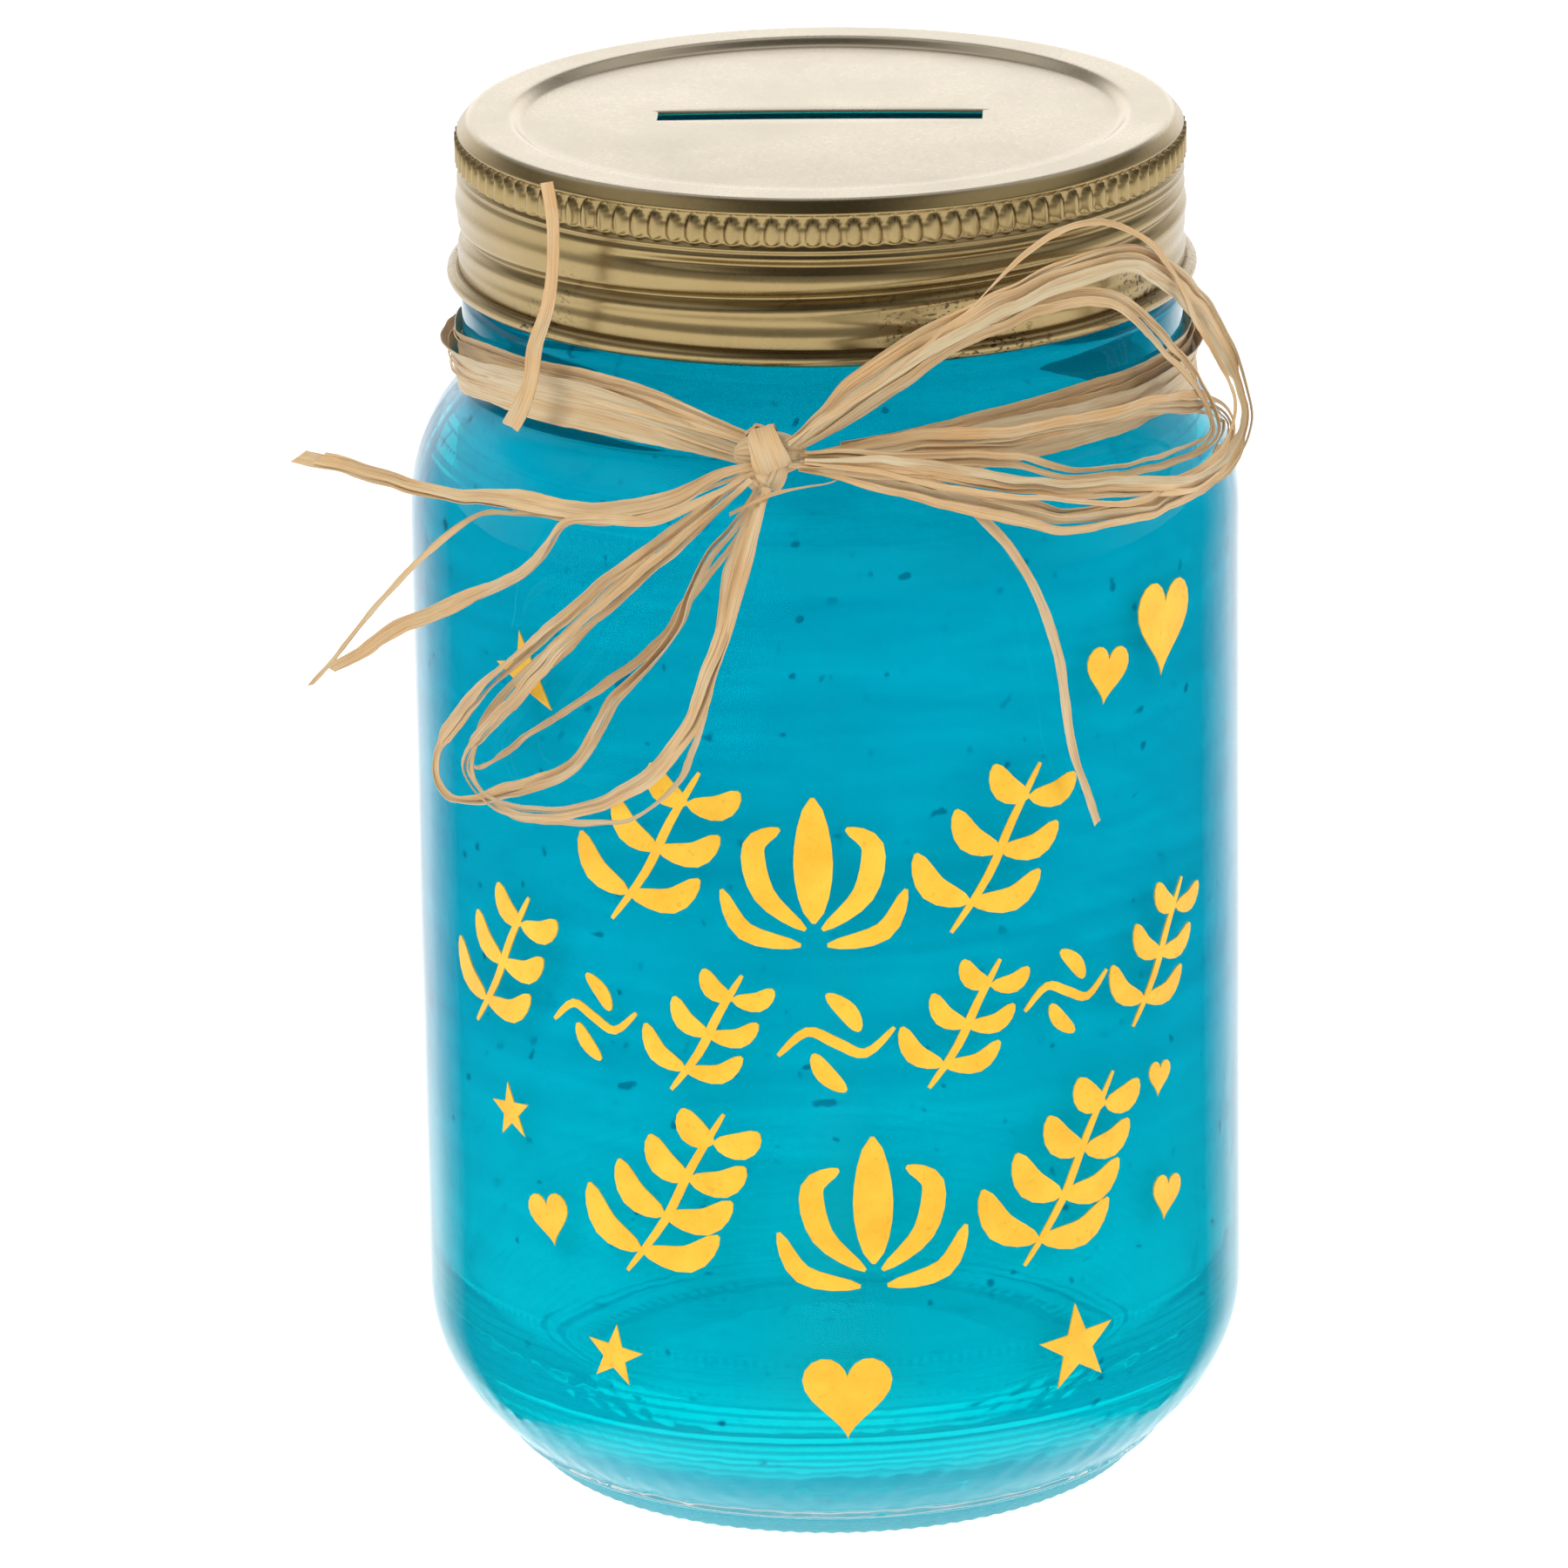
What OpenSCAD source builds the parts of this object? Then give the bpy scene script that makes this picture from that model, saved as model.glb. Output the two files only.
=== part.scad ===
// Coin bank jar: a screw-top glass jar with a slotted metal lid, an inside coat of
// colour, gold printed motifs and a raffia bow tied round its neck.
// Millimetres. +Z up, origin at the centre of the foot, the bow faces -Y.

/* [Jar] */
// Outer radius of the body
body_r = 40; // [39:0.5:41]
// Thickness of the glass wall
wall = 3; // [2.5:0.1:3.5]
// Height where the straight side ends and the shoulder begins
shoulder_z = 94.9; // [94:0.1:96]
// Outer radius of the neck below the lid
neck_r = 34.6; // [34.4:0.1:34.8]
// Height of the sealing rim
rim_z = 132.9; // [132:0.1:132.9]
// Height of the inside floor at its edge
floor_z = 7.5; // [6:0.5:9]
// Outer radius of the ring that the jar stands on
foot_r = 31; // [30:0.5:32]
// Thickness of the coat of colour inside the glass
coat_t = 0.15; // [0.12:0.01:0.3]

/* [Screw thread] */
// Rise of the thread in one turn
pitch = 6.35; // [6:0.05:6.5]
// Radius of the glass at the root of the thread
root_r = 32.8; // [32.6:0.1:32.9]
// Radius at the crest of the glass thread
crest_r = 34; // [33.8:0.1:34]
// Turns of thread on the glass
jar_turns = 1.35; // [1.2:0.05:1.4]
// Turns of the bead rolled into the lid
lid_turns = 1; // [0.8:0.05:1]

/* [Lid] */
// Height of the lid's raised outer ring
lid_top = 134.2; // [134:0.1:134.4]
// Outer radius of the lid's skirt
skirt_r = 34.8; // [34.8:0.05:34.9]
// Thickness of the metal
sheet_t = 0.4; // [0.3:0.05:0.4]
// Depth of the recessed centre panel
panel_drop = 0.75; // [0.5:0.05:0.8]
// Radius of the recessed centre panel
panel_r = 28.5; // [27:0.5:29]
// Number of grip flutes round the lid
flute_count = 114; // [100:2:120]
// Length of the coin slot
slot_len = 31; // [28:0.5:33]
// Width of the coin slot
slot_w = 3.2; // [2.5:0.1:3.5]
// Turn of the coin slot when the lid is closed, in degrees
slot_turn = -2; // [-10:1:10]

/* [Prints] */
// Thickness of the gold print
print_t = 0.12; // [0.1:0.01:0.2]

/* [Raffia] */
// Diameter of a wide strand
wide_d = 2; // [1.6:0.1:2.2]
// Diameter of the strands round the neck
wrap_d = 2.2; // [1.8:0.1:2.2]
// Diameter of a plain strand
plain_d = 1.6; // [1.2:0.1:1.8]
// Diameter of a thin strand
thin_d = 1; // [0.8:0.1:1.2]
// Width of the knot
knot_w = 7; // [6:0.5:8]

/* [Hidden] */
$fn = 96;

shoulder_w = 9.86;      // how far the shoulder's ellipse reaches in
shoulder_h = 15;        // and how high it stands
shoulder_end = 62.9;    // angle at which the shoulder meets the neck
heel_w = 20.2;          // the heel's ellipse
heel_h = 17.3;
heel_z = 16.7;
heel_end = -48;
push_up = 1.6;          // hollow under the base
floor_crown = 0.8;      // rise of the inside floor at its centre
neck_top_z = 117.6;     // where the neck steps in to the thread
rim_bore_r = 29.6;      // bore of the sealing rim
coat_top_z = 131;
skirt_z = 119.4;        // bottom of the lid's skirt
curl_r = 0.75;          // radius of the rolled edge
knurl_low = 130;
knurl_high = 132.8;
knurl_root = 34.75;
knurl_crest = 35.05;
bead_front_z = 124.9;   // height of the lid's thread bead at the front
flank_gap = 1.75;       // glass thread above the lid's bead, centre to centre
knot_at = [-5, -38.4, 111.6];

gold = [0.85, 0.66, 0.15];
tin = [0.78, 0.68, 0.48];
straw = [0.87, 0.75, 0.58];
teal = [0.05, 0.62, 0.74, 0.6];
clear = [0.75, 0.9, 0.93, 0.4];

// ---- helpers -------------------------------------------------------------

// Points of an ellipse's arc, in the plane of radius and height
function arc_pts(cx, cz, a, b, from, to, steps) =
    [for (i = [0:steps]) let (t = from + (to - from) * i / steps)
        [cx + a * cos(t), cz + b * sin(t)]];

function reversed(v) = [for (i = [len(v) - 1:-1:0]) v[i]];

function unit(v) = v / norm(v);

// The same open path moved sideways by t, to its right
function beside(path, t) =
    [for (i = [0:len(path) - 1])
        let (a = unit(path[min(i + 1, len(path) - 1)] - path[min(i, len(path) - 2)]),
             b = unit(path[max(i, 1)] - path[max(i - 1, 0)]),
             n = unit([a[1], -a[0]] + [b[1], -b[0]]))
        path[i] + n * t / max(0.5, n * [a[1], -a[0]])];

// Points along a smooth curve through the given ones
function spline(pts, steps) =
    concat([for (i = [0:len(pts) - 2], k = [0:steps - 1])
        let (p0 = pts[max(i - 1, 0)], p1 = pts[i], p2 = pts[i + 1],
             p3 = pts[min(i + 2, len(pts) - 1)], t = k / steps)
        0.5 * (2 * p1 + (p2 - p0) * t + (2 * p0 - 5 * p1 + 4 * p2 - p3) * t * t
            + (3 * p1 - p0 - 3 * p2 + p3) * t * t * t)],
        [pts[len(pts) - 1]]);

// Angle from the front (towards +X), radius and height, as a point
function polar(v) = [v[1] * sin(v[0]), -v[1] * cos(v[0]), v[2]];

// Sideways directions carried along a curve without twisting
function carry(tan, i, side) =
    i >= len(tan) ? [] :
    let (s = unit(side - (side * tan[i]) * tan[i]))
    concat([s], carry(tan, i + 1, s));

// A solid from rings of points, all with the same number of points
module skin(rings) {
    n = len(rings[0]);
    last = len(rings) - 1;
    side_faces = [for (i = [0:last - 1], j = [0:n - 1])
        [i * n + j, i * n + (j + 1) % n, (i + 1) * n + (j + 1) % n, (i + 1) * n + j]];
    split_faces = [for (f = side_faces) each [[f[0], f[1], f[2]], [f[0], f[2], f[3]]]];
    start_face = [for (j = [n - 1:-1:0]) j];
    end_face = [for (j = [0:n - 1]) last * n + j];
    polyhedron(points = [for (r = rings) each r],
        faces = concat(split_faces, [start_face], [end_face]), convexity = 8);
}

// A round strand swept along a route, with 8 sides
module strand(route, d, steps = 2) {
    pts = spline(route, steps);
    m = len(pts) - 1;
    tan = [for (i = [0:m]) unit(pts[min(i + 1, m)] - pts[max(i - 1, 0)])];
    side = carry(tan, 0, cross(tan[0], [0.2, 0.1, 1]));
    color(straw) skin([for (i = [0:m]) let (u = cross(tan[i], side[i]))
        [for (j = [0:7]) pts[i] + d / 2 * (side[i] * cos(45 * j) - u * sin(45 * j))]]);
}

// A thread: half heights w1 at radius r1 and w2 at radius r2, faded out at both ends
module thread(front_z, from, turns, r1, w1, r2, w2) {
    steps = round(turns * 40);
    fade = 4;
    up = r2 > r1 ? 1 : -1;
    skin([for (i = [0:steps])
        let (a = from + 360 * turns * i / steps, z = front_z + pitch * a / 360,
             k = min(1, (min(i, steps - i) + 0.2) / fade), r = r1 + (r2 - r1) * k)
        [polar([a, r1, z - up * w1]), polar([a, r, z - up * w2]), polar([a, r, z + up * w2]),
            polar([a, r1, z + up * w1])]]);
}

// ---- glass ---------------------------------------------------------------

function outer_side() = concat(
    [[0, push_up], [18, push_up], [25.5, 0.9], [27, 0], [foot_r - 1.4, 0],
        [foot_r - 0.6, 0.4], [foot_r, 1.3], [foot_r + 0.1, 2.5], [32.9, 2.7]],
    arc_pts(body_r - heel_w, heel_z, heel_w, heel_h, heel_end, 0, 14),
    arc_pts(body_r - shoulder_w, shoulder_z, shoulder_w, shoulder_h, 0, shoulder_end, 12),
    [[neck_r, 109.5], [neck_r, neck_top_z - 0.5], [neck_r - 0.5, neck_top_z],
        [root_r, neck_top_z + 0.6], [root_r, rim_z - 0.9], [root_r - 0.3, rim_z - 0.3],
        [root_r - 0.9, rim_z]]);

function inner_side() = concat(
    [[0, floor_z + floor_crown], [12, floor_z + 0.6]],
    arc_pts(body_r - wall - 15, 22, 15, 22 - floor_z, -90, 0, 12),
    arc_pts(body_r - wall - 7, shoulder_z - 0.6, 7, 13, 0, 62, 10),
    [[neck_r - 3.6, 109.5], [rim_bore_r, neck_top_z], [rim_bore_r, rim_z - 0.6]]);

module glass_jar() {
    color(clear) union() {
        rotate_extrude()
            polygon(concat(outer_side(), [[rim_bore_r + 0.6, rim_z]], reversed(inner_side())));
        thread(bead_front_z + flank_gap, -300, jar_turns, root_r - 0.3, 1.25, crest_r, 0.5);
    }
}

// The coat lies on the inside of the glass
module paint_coat() {
    side = [for (p = inner_side()) if (p[1] < coat_top_z) p];
    up = [rim_bore_r, coat_top_z];
    inside = beside(concat(side, [up]), -coat_t);
    color(teal) rotate_extrude()
        polygon(concat(side, [up], [for (p = reversed(inside)) [max(p[0], 0), p[1]]]));
}

// ---- lid -----------------------------------------------------------------

function lid_sheet() = concat(
    [[0, lid_top - panel_drop], [panel_r, lid_top - panel_drop], [panel_r + 1.2, lid_top],
        [skirt_r - 1.6, lid_top]],
    arc_pts(skirt_r - 1.4, lid_top - 1.4, 1.4, 1.4, 75, 0, 5),
    [[skirt_r, 129.5], [skirt_r, skirt_z]]);

// A cog-like outline for the grip band
function fluted(crest, root, count) =
    [for (i = [0:count * 4 - 1])
        let (r = (crest + root) / 2 + (crest - root) / 2 * cos(90 * i), a = 90 * i / count)
        [r * cos(a), r * sin(a)]];

module lid() {
    sheet = lid_sheet();
    under = beside(sheet, sheet_t);
    wall_in = skirt_r - sheet_t;
    color(tin) difference() {
        union() {
            rotate_extrude() polygon(concat(sheet, [for (p = reversed(under)) [max(p[0], 0), p[1]]]));
            translate([0, 0, knurl_low]) linear_extrude(knurl_high - knurl_low) difference() {
                polygon(fluted(knurl_crest, knurl_root, flute_count));
                circle(r = skirt_r - sheet_t / 2);
            }
            rotate_extrude() translate([skirt_r + 0.45, skirt_z - 0.15]) circle(r = curl_r, $fn = 32);
            thread(bead_front_z, -200, lid_turns, wall_in + 0.15, 1.1, wall_in - 0.9, 0.45);
        }
        rotate([0, 0, slot_turn])
            translate([-slot_len / 2, -slot_w / 2, lid_top - 3]) cube([slot_len, slot_w, 5]);
    }
}

// The soft ring that seals the lid on the rim
module sealing_liner() {
    color("ivory") rotate_extrude()
        polygon([[30.3, rim_z + 0.15], [32.6, rim_z + 0.15], [33.1, rim_z + 0.4],
            [33.1, lid_top - sheet_t - 0.02], [30.3, lid_top - sheet_t - 0.02]]);
}

// ---- prints --------------------------------------------------------------

// A flat outline laid on the glass at an angle from the front and a height
module on_glass(angle, z, tilt = 0) {
    intersection() {
        rotate([0, 0, angle]) translate([0, -body_r + 4, z]) rotate([90, 0, 0])
            rotate([0, 0, tilt]) linear_extrude(8) children();
        difference() {
            cylinder(h = shoulder_z, r = body_r + print_t);
            translate([0, 0, -1]) cylinder(h = shoulder_z + 2, r = body_r);
        }
    }
}

module star(size) {
    polygon([for (i = [0:9]) let (r = i % 2 == 0 ? size / 2 : size * 0.2)
        [r * sin(36 * i), r * cos(36 * i)]]);
}

module heart(w, h) {
    polygon([for (i = [0:31]) let (t = 11.25 * i)
        [w / 32 * 16 * pow(sin(t), 3),
            h / 29 * (13 * cos(t) - 5 * cos(2 * t) - 2 * cos(3 * t) - cos(4 * t) + 2.5)]]);
}

// A brush mark: thin, swelling and thin again along a smooth path
module brush(pts, w, tip = 0.35, steps = 4) {
    path = spline(pts, steps);
    m = len(path) - 1;
    tan = [for (i = [0:m]) unit(path[min(i + 1, m)] - path[max(i - 1, 0)])];
    half = [for (i = [0:m]) (tip + (w - tip) * pow(sin(180 * i / m), 0.8)) / 2];
    polygon(concat(
        [for (i = [0:m]) path[i] + half[i] * [-tan[i][1], tan[i][0]]],
        [for (i = [m:-1:0]) path[i] - half[i] * [-tan[i][1], tan[i][0]]]));
}

// A curved stem with leaves on both sides, growing from lower left to upper right
module sprig(h, leaves = 3) {
    lean = h * 0.3;
    brush([[-lean, -h / 2], [-lean * 0.2, -h / 6], [lean * 0.35, h / 6], [lean, h / 2]], 0.9);
    for (i = [0:leaves - 1]) {
        k = (i + 0.6) / leaves;
        base = [-lean + 2 * lean * k, -h / 2 + h * k * 0.92];
        long = h * (0.46 - 0.07 * i);
        brush([base, base + long * [-0.5, 0.24], base + long * [-0.72, 0.74]], h * 0.17);
        brush([base, base + long * [0.62, -0.04], base + long * [1.02, 0.3]], h * 0.16);
    }
}

// A drop between two pairs of curled brush marks
module palmette(h) {
    brush([[0, -h * 0.3], [0, h * 0.08], [0, h * 0.5]], h * 0.24);
    for (s = [-1, 1]) {
        brush([[s * h * 0.05, -h * 0.34], [s * h * 0.3, -h * 0.12], [s * h * 0.36, h * 0.18],
            [s * h * 0.2, h * 0.3]], h * 0.15);
        brush([[s * h * 0.08, -h * 0.44], [s * h * 0.42, -h * 0.36], [s * h * 0.56, -h * 0.1]],
            h * 0.12);
    }
}

// A wavy tendril with drops above and below it
module tendril(w) {
    brush([[-w / 2, -w * 0.12], [-w * 0.25, w * 0.1], [0, 0], [w * 0.25, -w * 0.1],
        [w / 2, w * 0.12]], w * 0.1);
    for (s = [-1, 1])
        brush([[s * w * 0.2, s * w * 0.1], [s * w * 0.1, s * w * 0.28], [-s * w * 0.08, s * w * 0.44]],
            w * 0.17);
}

// Angle, height, size and tilt of each star
stars = [[-45.2, 87, 8.6, 12], [-50.6, 42.4, 5.8, 8], [-32.2, 20.5, 6.4, -6], [35, 20.3, 9, 4]];
// Angle, height, width, height of the outline and tilt of each heart
hearts = [[52.3, 89.6, 8.2, 9.2, -6], [40.7, 86.8, 5.3, 5.6, -10], [-43.1, 32.7, 5.3, 5.2, 14],
    [51, 44.7, 3.4, 3.5, -8], [52.6, 32.3, 4.6, 4.5, -12], [1.2, 18.1, 8.6, 8.2, 0]];
// Angle, height and size of each flourish
top_row = [[-24.5, 72.5, 15.5], [-2.5, 70.5, 15.5], [22.8, 72, 15.5]];
middle_row = [[-52, 57.5, 14.5], [-34.5, 54.5, 9.5], [-17.5, 54.5, 12], [0.3, 54, 11],
    [18, 55, 12], [33.6, 56.5, 9.5], [51, 57.5, 13]];
bottom_row = [[-22.5, 38, 17], [5, 36.5, 16], [34, 38.5, 17.5]];

module star_prints() {
    color(gold) for (s = stars) on_glass(s[0], s[1], s[3]) star(s[2]);
}

module heart_prints() {
    color(gold) for (h = hearts) on_glass(h[0], h[1], h[4]) heart(h[2], h[3]);
}

module flourish_top() {
    color(gold) for (i = [0:2]) on_glass(top_row[i][0], top_row[i][1])
        if (i == 1) palmette(top_row[i][2]);
        else sprig(top_row[i][2]);
}

module flourish_middle() {
    color(gold) for (i = [0:6]) on_glass(middle_row[i][0], middle_row[i][1])
        if (i % 2 == 0) sprig(middle_row[i][2]);
        else tendril(middle_row[i][2]);
}

module flourish_bottom() {
    color(gold) for (i = [0:2]) on_glass(bottom_row[i][0], bottom_row[i][1])
        if (i == 1) palmette(bottom_row[i][2]);
        else sprig(bottom_row[i][2], 4);
}

// ---- raffia --------------------------------------------------------------

// Routes of the strands, as x, y and z in millimetres
loop_right_high_route = [[-3.5, -41.5, 113], [4, -41, 118.5], [10.5, -39.5, 122.5],
    [16.5, -37.5, 125], [22.5, -34.5, 127], [28, -30.5, 127], [32.5, -26, 124],
    [36.5, -19, 117.5], [39, -15, 111.5], [39.5, -16, 107.5], [36.5, -24, 105],
    [31, -33.5, 106], [23.5, -38.5, 107.5], [15.5, -41, 109], [7.5, -42.5, 111],
    [-2, -42, 111.5]];
loop_right_mid_route = [[-3.5, -40.5, 112], [5, -39, 117], [13, -36.5, 121.5], [19, -34, 124],
    [24, -31, 124], [29, -27, 121], [33, -22, 116], [36, -17, 110.5], [36, -19, 107],
    [31, -28.5, 107], [23.5, -36, 108.5], [15.5, -39, 110.5], [6.5, -41, 111.5],
    [-2, -41, 112]];
loop_right_thin_route = [[-3.5, -42.5, 113.5], [5, -42, 119], [13, -40.5, 125],
    [19.5, -37.5, 130.5], [25, -33.5, 132], [29.5, -30, 129], [33, -27, 124],
    [37, -22, 115.5], [39, -19.5, 109.5], [36, -26.5, 106], [29, -36, 105.5],
    [21, -41, 107], [13, -43, 108.5], [5.5, -43.5, 110.5], [-2, -42.5, 111.5]];
loop_right_low_route = [[-2.5, -41.5, 111], [4, -42.5, 110], [12, -42, 107.5],
    [22.5, -37.5, 104.5], [30.5, -31, 103.5], [36, -21, 103.5], [38, -14.5, 106],
    [36, -16, 109.5], [29.5, -27.5, 112], [20.5, -35, 112.5], [12, -38.5, 112.5],
    [4, -39.5, 112], [-2.5, -40.5, 111.5]];
loop_left_outer_route = [[-6.5, -41.5, 110], [-9, -42, 109.5], [-18, -40.5, 102],
    [-24.5, -38, 95.5], [-30.5, -33, 88.5], [-35.5, -27, 81.5], [-37, -23.5, 77],
    [-36, -25.5, 74.5], [-32.5, -29, 75], [-25.5, -35, 79.5], [-20, -38.5, 86.5],
    [-15.5, -40, 93], [-11.5, -41, 100.5], [-8, -41, 105.5], [-6, -41, 109.5]];
loop_left_inner_route = [[-7, -41, 109.5], [-9.5, -40.5, 108], [-16.5, -39, 102],
    [-23.5, -35.5, 94.5], [-29.5, -30.5, 87], [-33, -26.5, 80.5], [-33.5, -26, 76],
    [-30.5, -30, 74], [-24.5, -36, 74.5], [-19, -39.5, 76], [-14, -42, 81],
    [-11.5, -43, 87.5], [-10, -43, 94.5], [-9, -42.5, 101], [-7.5, -42, 105.5],
    [-6, -41.5, 109.5]];
loop_left_third_route = [[-6.5, -40.5, 109.5], [-11, -39.5, 105], [-18.5, -37.5, 97.5],
    [-25.5, -32.5, 90], [-31.5, -26.5, 83], [-34, -23.5, 78], [-32.5, -26, 77.5],
    [-24.5, -33.5, 85.5], [-16.5, -38.5, 92.5], [-11.5, -40, 99.5], [-8, -40.5, 105],
    [-5.5, -40.5, 109]];
loop_left_wide_route = [[-7, -42.5, 110], [-13.5, -43.5, 104.5], [-21, -41.5, 97.5],
    [-27.5, -37.5, 90], [-33.5, -31.5, 82], [-34.5, -29.5, 78], [-31, -33.5, 76],
    [-24.5, -39, 76.5], [-17.5, -42.5, 80.5], [-13, -44.5, 86.5], [-10.5, -44.5, 93],
    [-9, -44, 99.5], [-7, -43.5, 105.5], [-5.5, -42, 109]];
tail_right_route = [[-3.5, -41.5, 111], [3, -42.5, 110.5], [9, -42.5, 109.5], [14, -41.5, 106],
    [18.5, -39, 99], [21, -37.5, 91.5], [22.5, -36.5, 84], [23.5, -35.5, 78.5],
    [25, -34, 73.5]];
tail_thread_route = [[-2, -41.5, 111], [1, -42.5, 110], [-2, -43.5, 109.5], [-5.5, -43, 108.5],
    [-9, -42, 106.5]];
tail_left_wide_route = [[-6.5, -41.5, 111], [-9.5, -42, 110.5], [-15, -41.5, 108],
    [-21, -39.5, 106.5], [-26, -36.5, 106], [-33.5, -32, 105.5], [-39, -29, 106],
    [-45, -26, 107], [-49.5, -23, 107.5]];
tail_left_thin_route = [[-7, -40.5, 110.5], [-9.5, -40.5, 109], [-16.5, -39, 106],
    [-24, -35.5, 104.5], [-29, -31, 103.5], [-32.5, -29.5, 103], [-35.5, -29, 101],
    [-39, -28, 97.5], [-44.5, -26, 90.5], [-49, -24, 85]];
tail_left_low_route = [[-6.5, -41.5, 110.5], [-11, -44, 109], [-16, -44, 107],
    [-21, -42, 106.5], [-24.5, -40, 105.5], [-27, -37.5, 101], [-30, -35, 98],
    [-35, -31, 94.5], [-39.5, -30, 92.5], [-43.5, -28, 89.5], [-47, -27, 87.5]];
end_upright_route = [[-25.5, -29, 135], [-25, -29.5, 131.5], [-25, -30, 127.5],
    [-25.5, -29.5, 123.5], [-27, -28.5, 119], [-27.5, -28.5, 115.5], [-28.5, -28.5, 113],
    [-29.5, -27.5, 111]];
// The wrap lies on the neck: angle from the front, radius and height
wrap_upper_route = [[2, 38.8, 112.4], [16, 37.8, 112.8], [33, 36.8, 113], [54, 36.4, 112.9],
    [80, 36.4, 112.5], [105, 36.4, 112.2], [130, 36.4, 112], [155, 36.4, 112],
    [180, 36.4, 112], [205, 36.4, 112], [230, 36.4, 112.1], [255, 36.4, 112.6],
    [278, 36.4, 113.7], [298, 36.4, 115], [314, 36.5, 115.8], [328, 36.8, 115.8],
    [339, 37.5, 114.7], [350, 38.4, 112.8]];
// How far the lower turn of the wrap lies below the upper one
wrap_step = 2.5;

module raffia_knot() {
    color(straw) translate(knot_at) scale([1, 0.9, 1.1]) sphere(r = knot_w / 2, $fn = 48);
}

module wrap_upper() {
    strand([for (p = wrap_upper_route) polar(p)], wrap_d);
}

// The lower turn of the wrap lies just under the upper one
module wrap_lower() {
    strand([for (p = wrap_upper_route) polar([p[0], p[1], p[2] - wrap_step])], wrap_d);
}

module loop_right_high() { strand(loop_right_high_route, wide_d); }
module loop_right_mid() { strand(loop_right_mid_route, wide_d); }
module loop_right_thin() { strand(loop_right_thin_route, thin_d); }
module loop_right_low() { strand(loop_right_low_route, plain_d); }
module loop_left_outer() { strand(loop_left_outer_route, plain_d); }
module loop_left_inner() { strand(loop_left_inner_route, plain_d); }
module loop_left_third() { strand(loop_left_third_route, thin_d); }
module loop_left_wide() { strand(loop_left_wide_route, plain_d); }
module tail_right() { strand(tail_right_route, plain_d); }
module tail_thread() { strand(tail_thread_route, thin_d); }
module tail_left_wide() { strand(tail_left_wide_route, wide_d); }
module tail_left_thin() { strand(tail_left_thin_route, thin_d); }
module tail_left_low() { strand(tail_left_low_route, thin_d); }
module end_upright() { strand(end_upright_route, wide_d); }

glass_jar();
paint_coat();
lid();
sealing_liner();
star_prints();
heart_prints();
flourish_top();
flourish_middle();
flourish_bottom();
raffia_knot();
wrap_upper();
wrap_lower();
loop_right_high();
loop_right_mid();
loop_right_thin();
loop_right_low();
loop_left_outer();
loop_left_inner();
loop_left_third();
loop_left_wide();
tail_right();
tail_thread();
tail_left_wide();
tail_left_thin();
tail_left_low();
end_upright();
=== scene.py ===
"""Looks of the coin bank jar: glass, inside coat, slotted lid, gold print and raffia bow."""
import math

import bpy
import numpy as np
from mathutils import Matrix, Vector


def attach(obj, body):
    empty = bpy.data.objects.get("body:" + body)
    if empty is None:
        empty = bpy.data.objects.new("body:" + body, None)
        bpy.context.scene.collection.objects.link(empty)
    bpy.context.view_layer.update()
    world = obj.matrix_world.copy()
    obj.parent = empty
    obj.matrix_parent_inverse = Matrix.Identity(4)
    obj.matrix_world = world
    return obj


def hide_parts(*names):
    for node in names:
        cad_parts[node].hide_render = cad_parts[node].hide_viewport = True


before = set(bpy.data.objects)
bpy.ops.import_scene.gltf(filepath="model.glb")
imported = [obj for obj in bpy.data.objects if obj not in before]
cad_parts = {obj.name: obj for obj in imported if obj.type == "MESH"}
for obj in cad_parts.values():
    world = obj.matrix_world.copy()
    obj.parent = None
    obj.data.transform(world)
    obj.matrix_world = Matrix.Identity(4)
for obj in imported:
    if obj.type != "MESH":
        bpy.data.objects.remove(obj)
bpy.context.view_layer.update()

MM = 0.001

# ---- camera --------------------------------------------------------------

CAMERA_TARGET = Vector((-0.004355, 0, 0.06669))
CAMERA_DISTANCE = 0.9855
CAMERA_ELEVATION = math.radians(17.94)
CAMERA_ROLL = math.radians(-0.838)
CAMERA_LENS = 232.2


def make_camera():
    data = bpy.data.cameras.new("camera")
    data.lens = CAMERA_LENS
    data.sensor_width = 36
    data.clip_start = 0.01
    cam = bpy.data.objects.new("camera", data)
    bpy.context.collection.objects.link(cam)
    back = Vector((0, -math.cos(CAMERA_ELEVATION), math.sin(CAMERA_ELEVATION)))
    turn = back.to_track_quat("Z", "Y").to_matrix() @ Matrix.Rotation(CAMERA_ROLL, 3, "Z")
    cam.matrix_world = Matrix.Translation(CAMERA_TARGET + back * CAMERA_DISTANCE) @ turn.to_4x4()
    bpy.context.scene.camera = cam


# ---- helpers: noise ------------------------------------------------------

def wander(x, seed, octaves=2):
    """A smooth wandering value along a line, between about -1 and 1."""
    lattice = np.random.default_rng(seed).uniform(-1, 1, 256)
    total, size, top = 0.0, 1.0, 0.0
    for k in range(octaves):
        t = np.asarray(x, float) * 2 ** k + 31.7 * k + 64
        i = np.floor(t).astype(int)
        f = t - i
        f = f * f * (3 - 2 * f)
        total = total + size * (lattice[i % 256] * (1 - f) + lattice[(i + 1) % 256] * f)
        top += size
        size *= 0.5
    return total / top


def ripple(angle, along, seed, turns, per_mm, waves=14):
    """A smooth waviness round a jar: whole waves round, any waves along."""
    rng = np.random.default_rng(seed)
    total = 0.0
    for _ in range(waves):
        n = rng.integers(-turns, turns + 1)
        k = rng.uniform(-per_mm, per_mm) * 2 * math.pi
        total = total + np.sin(n * angle + k * along + rng.uniform(0, 2 * math.pi))
    return total / math.sqrt(waves)


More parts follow.
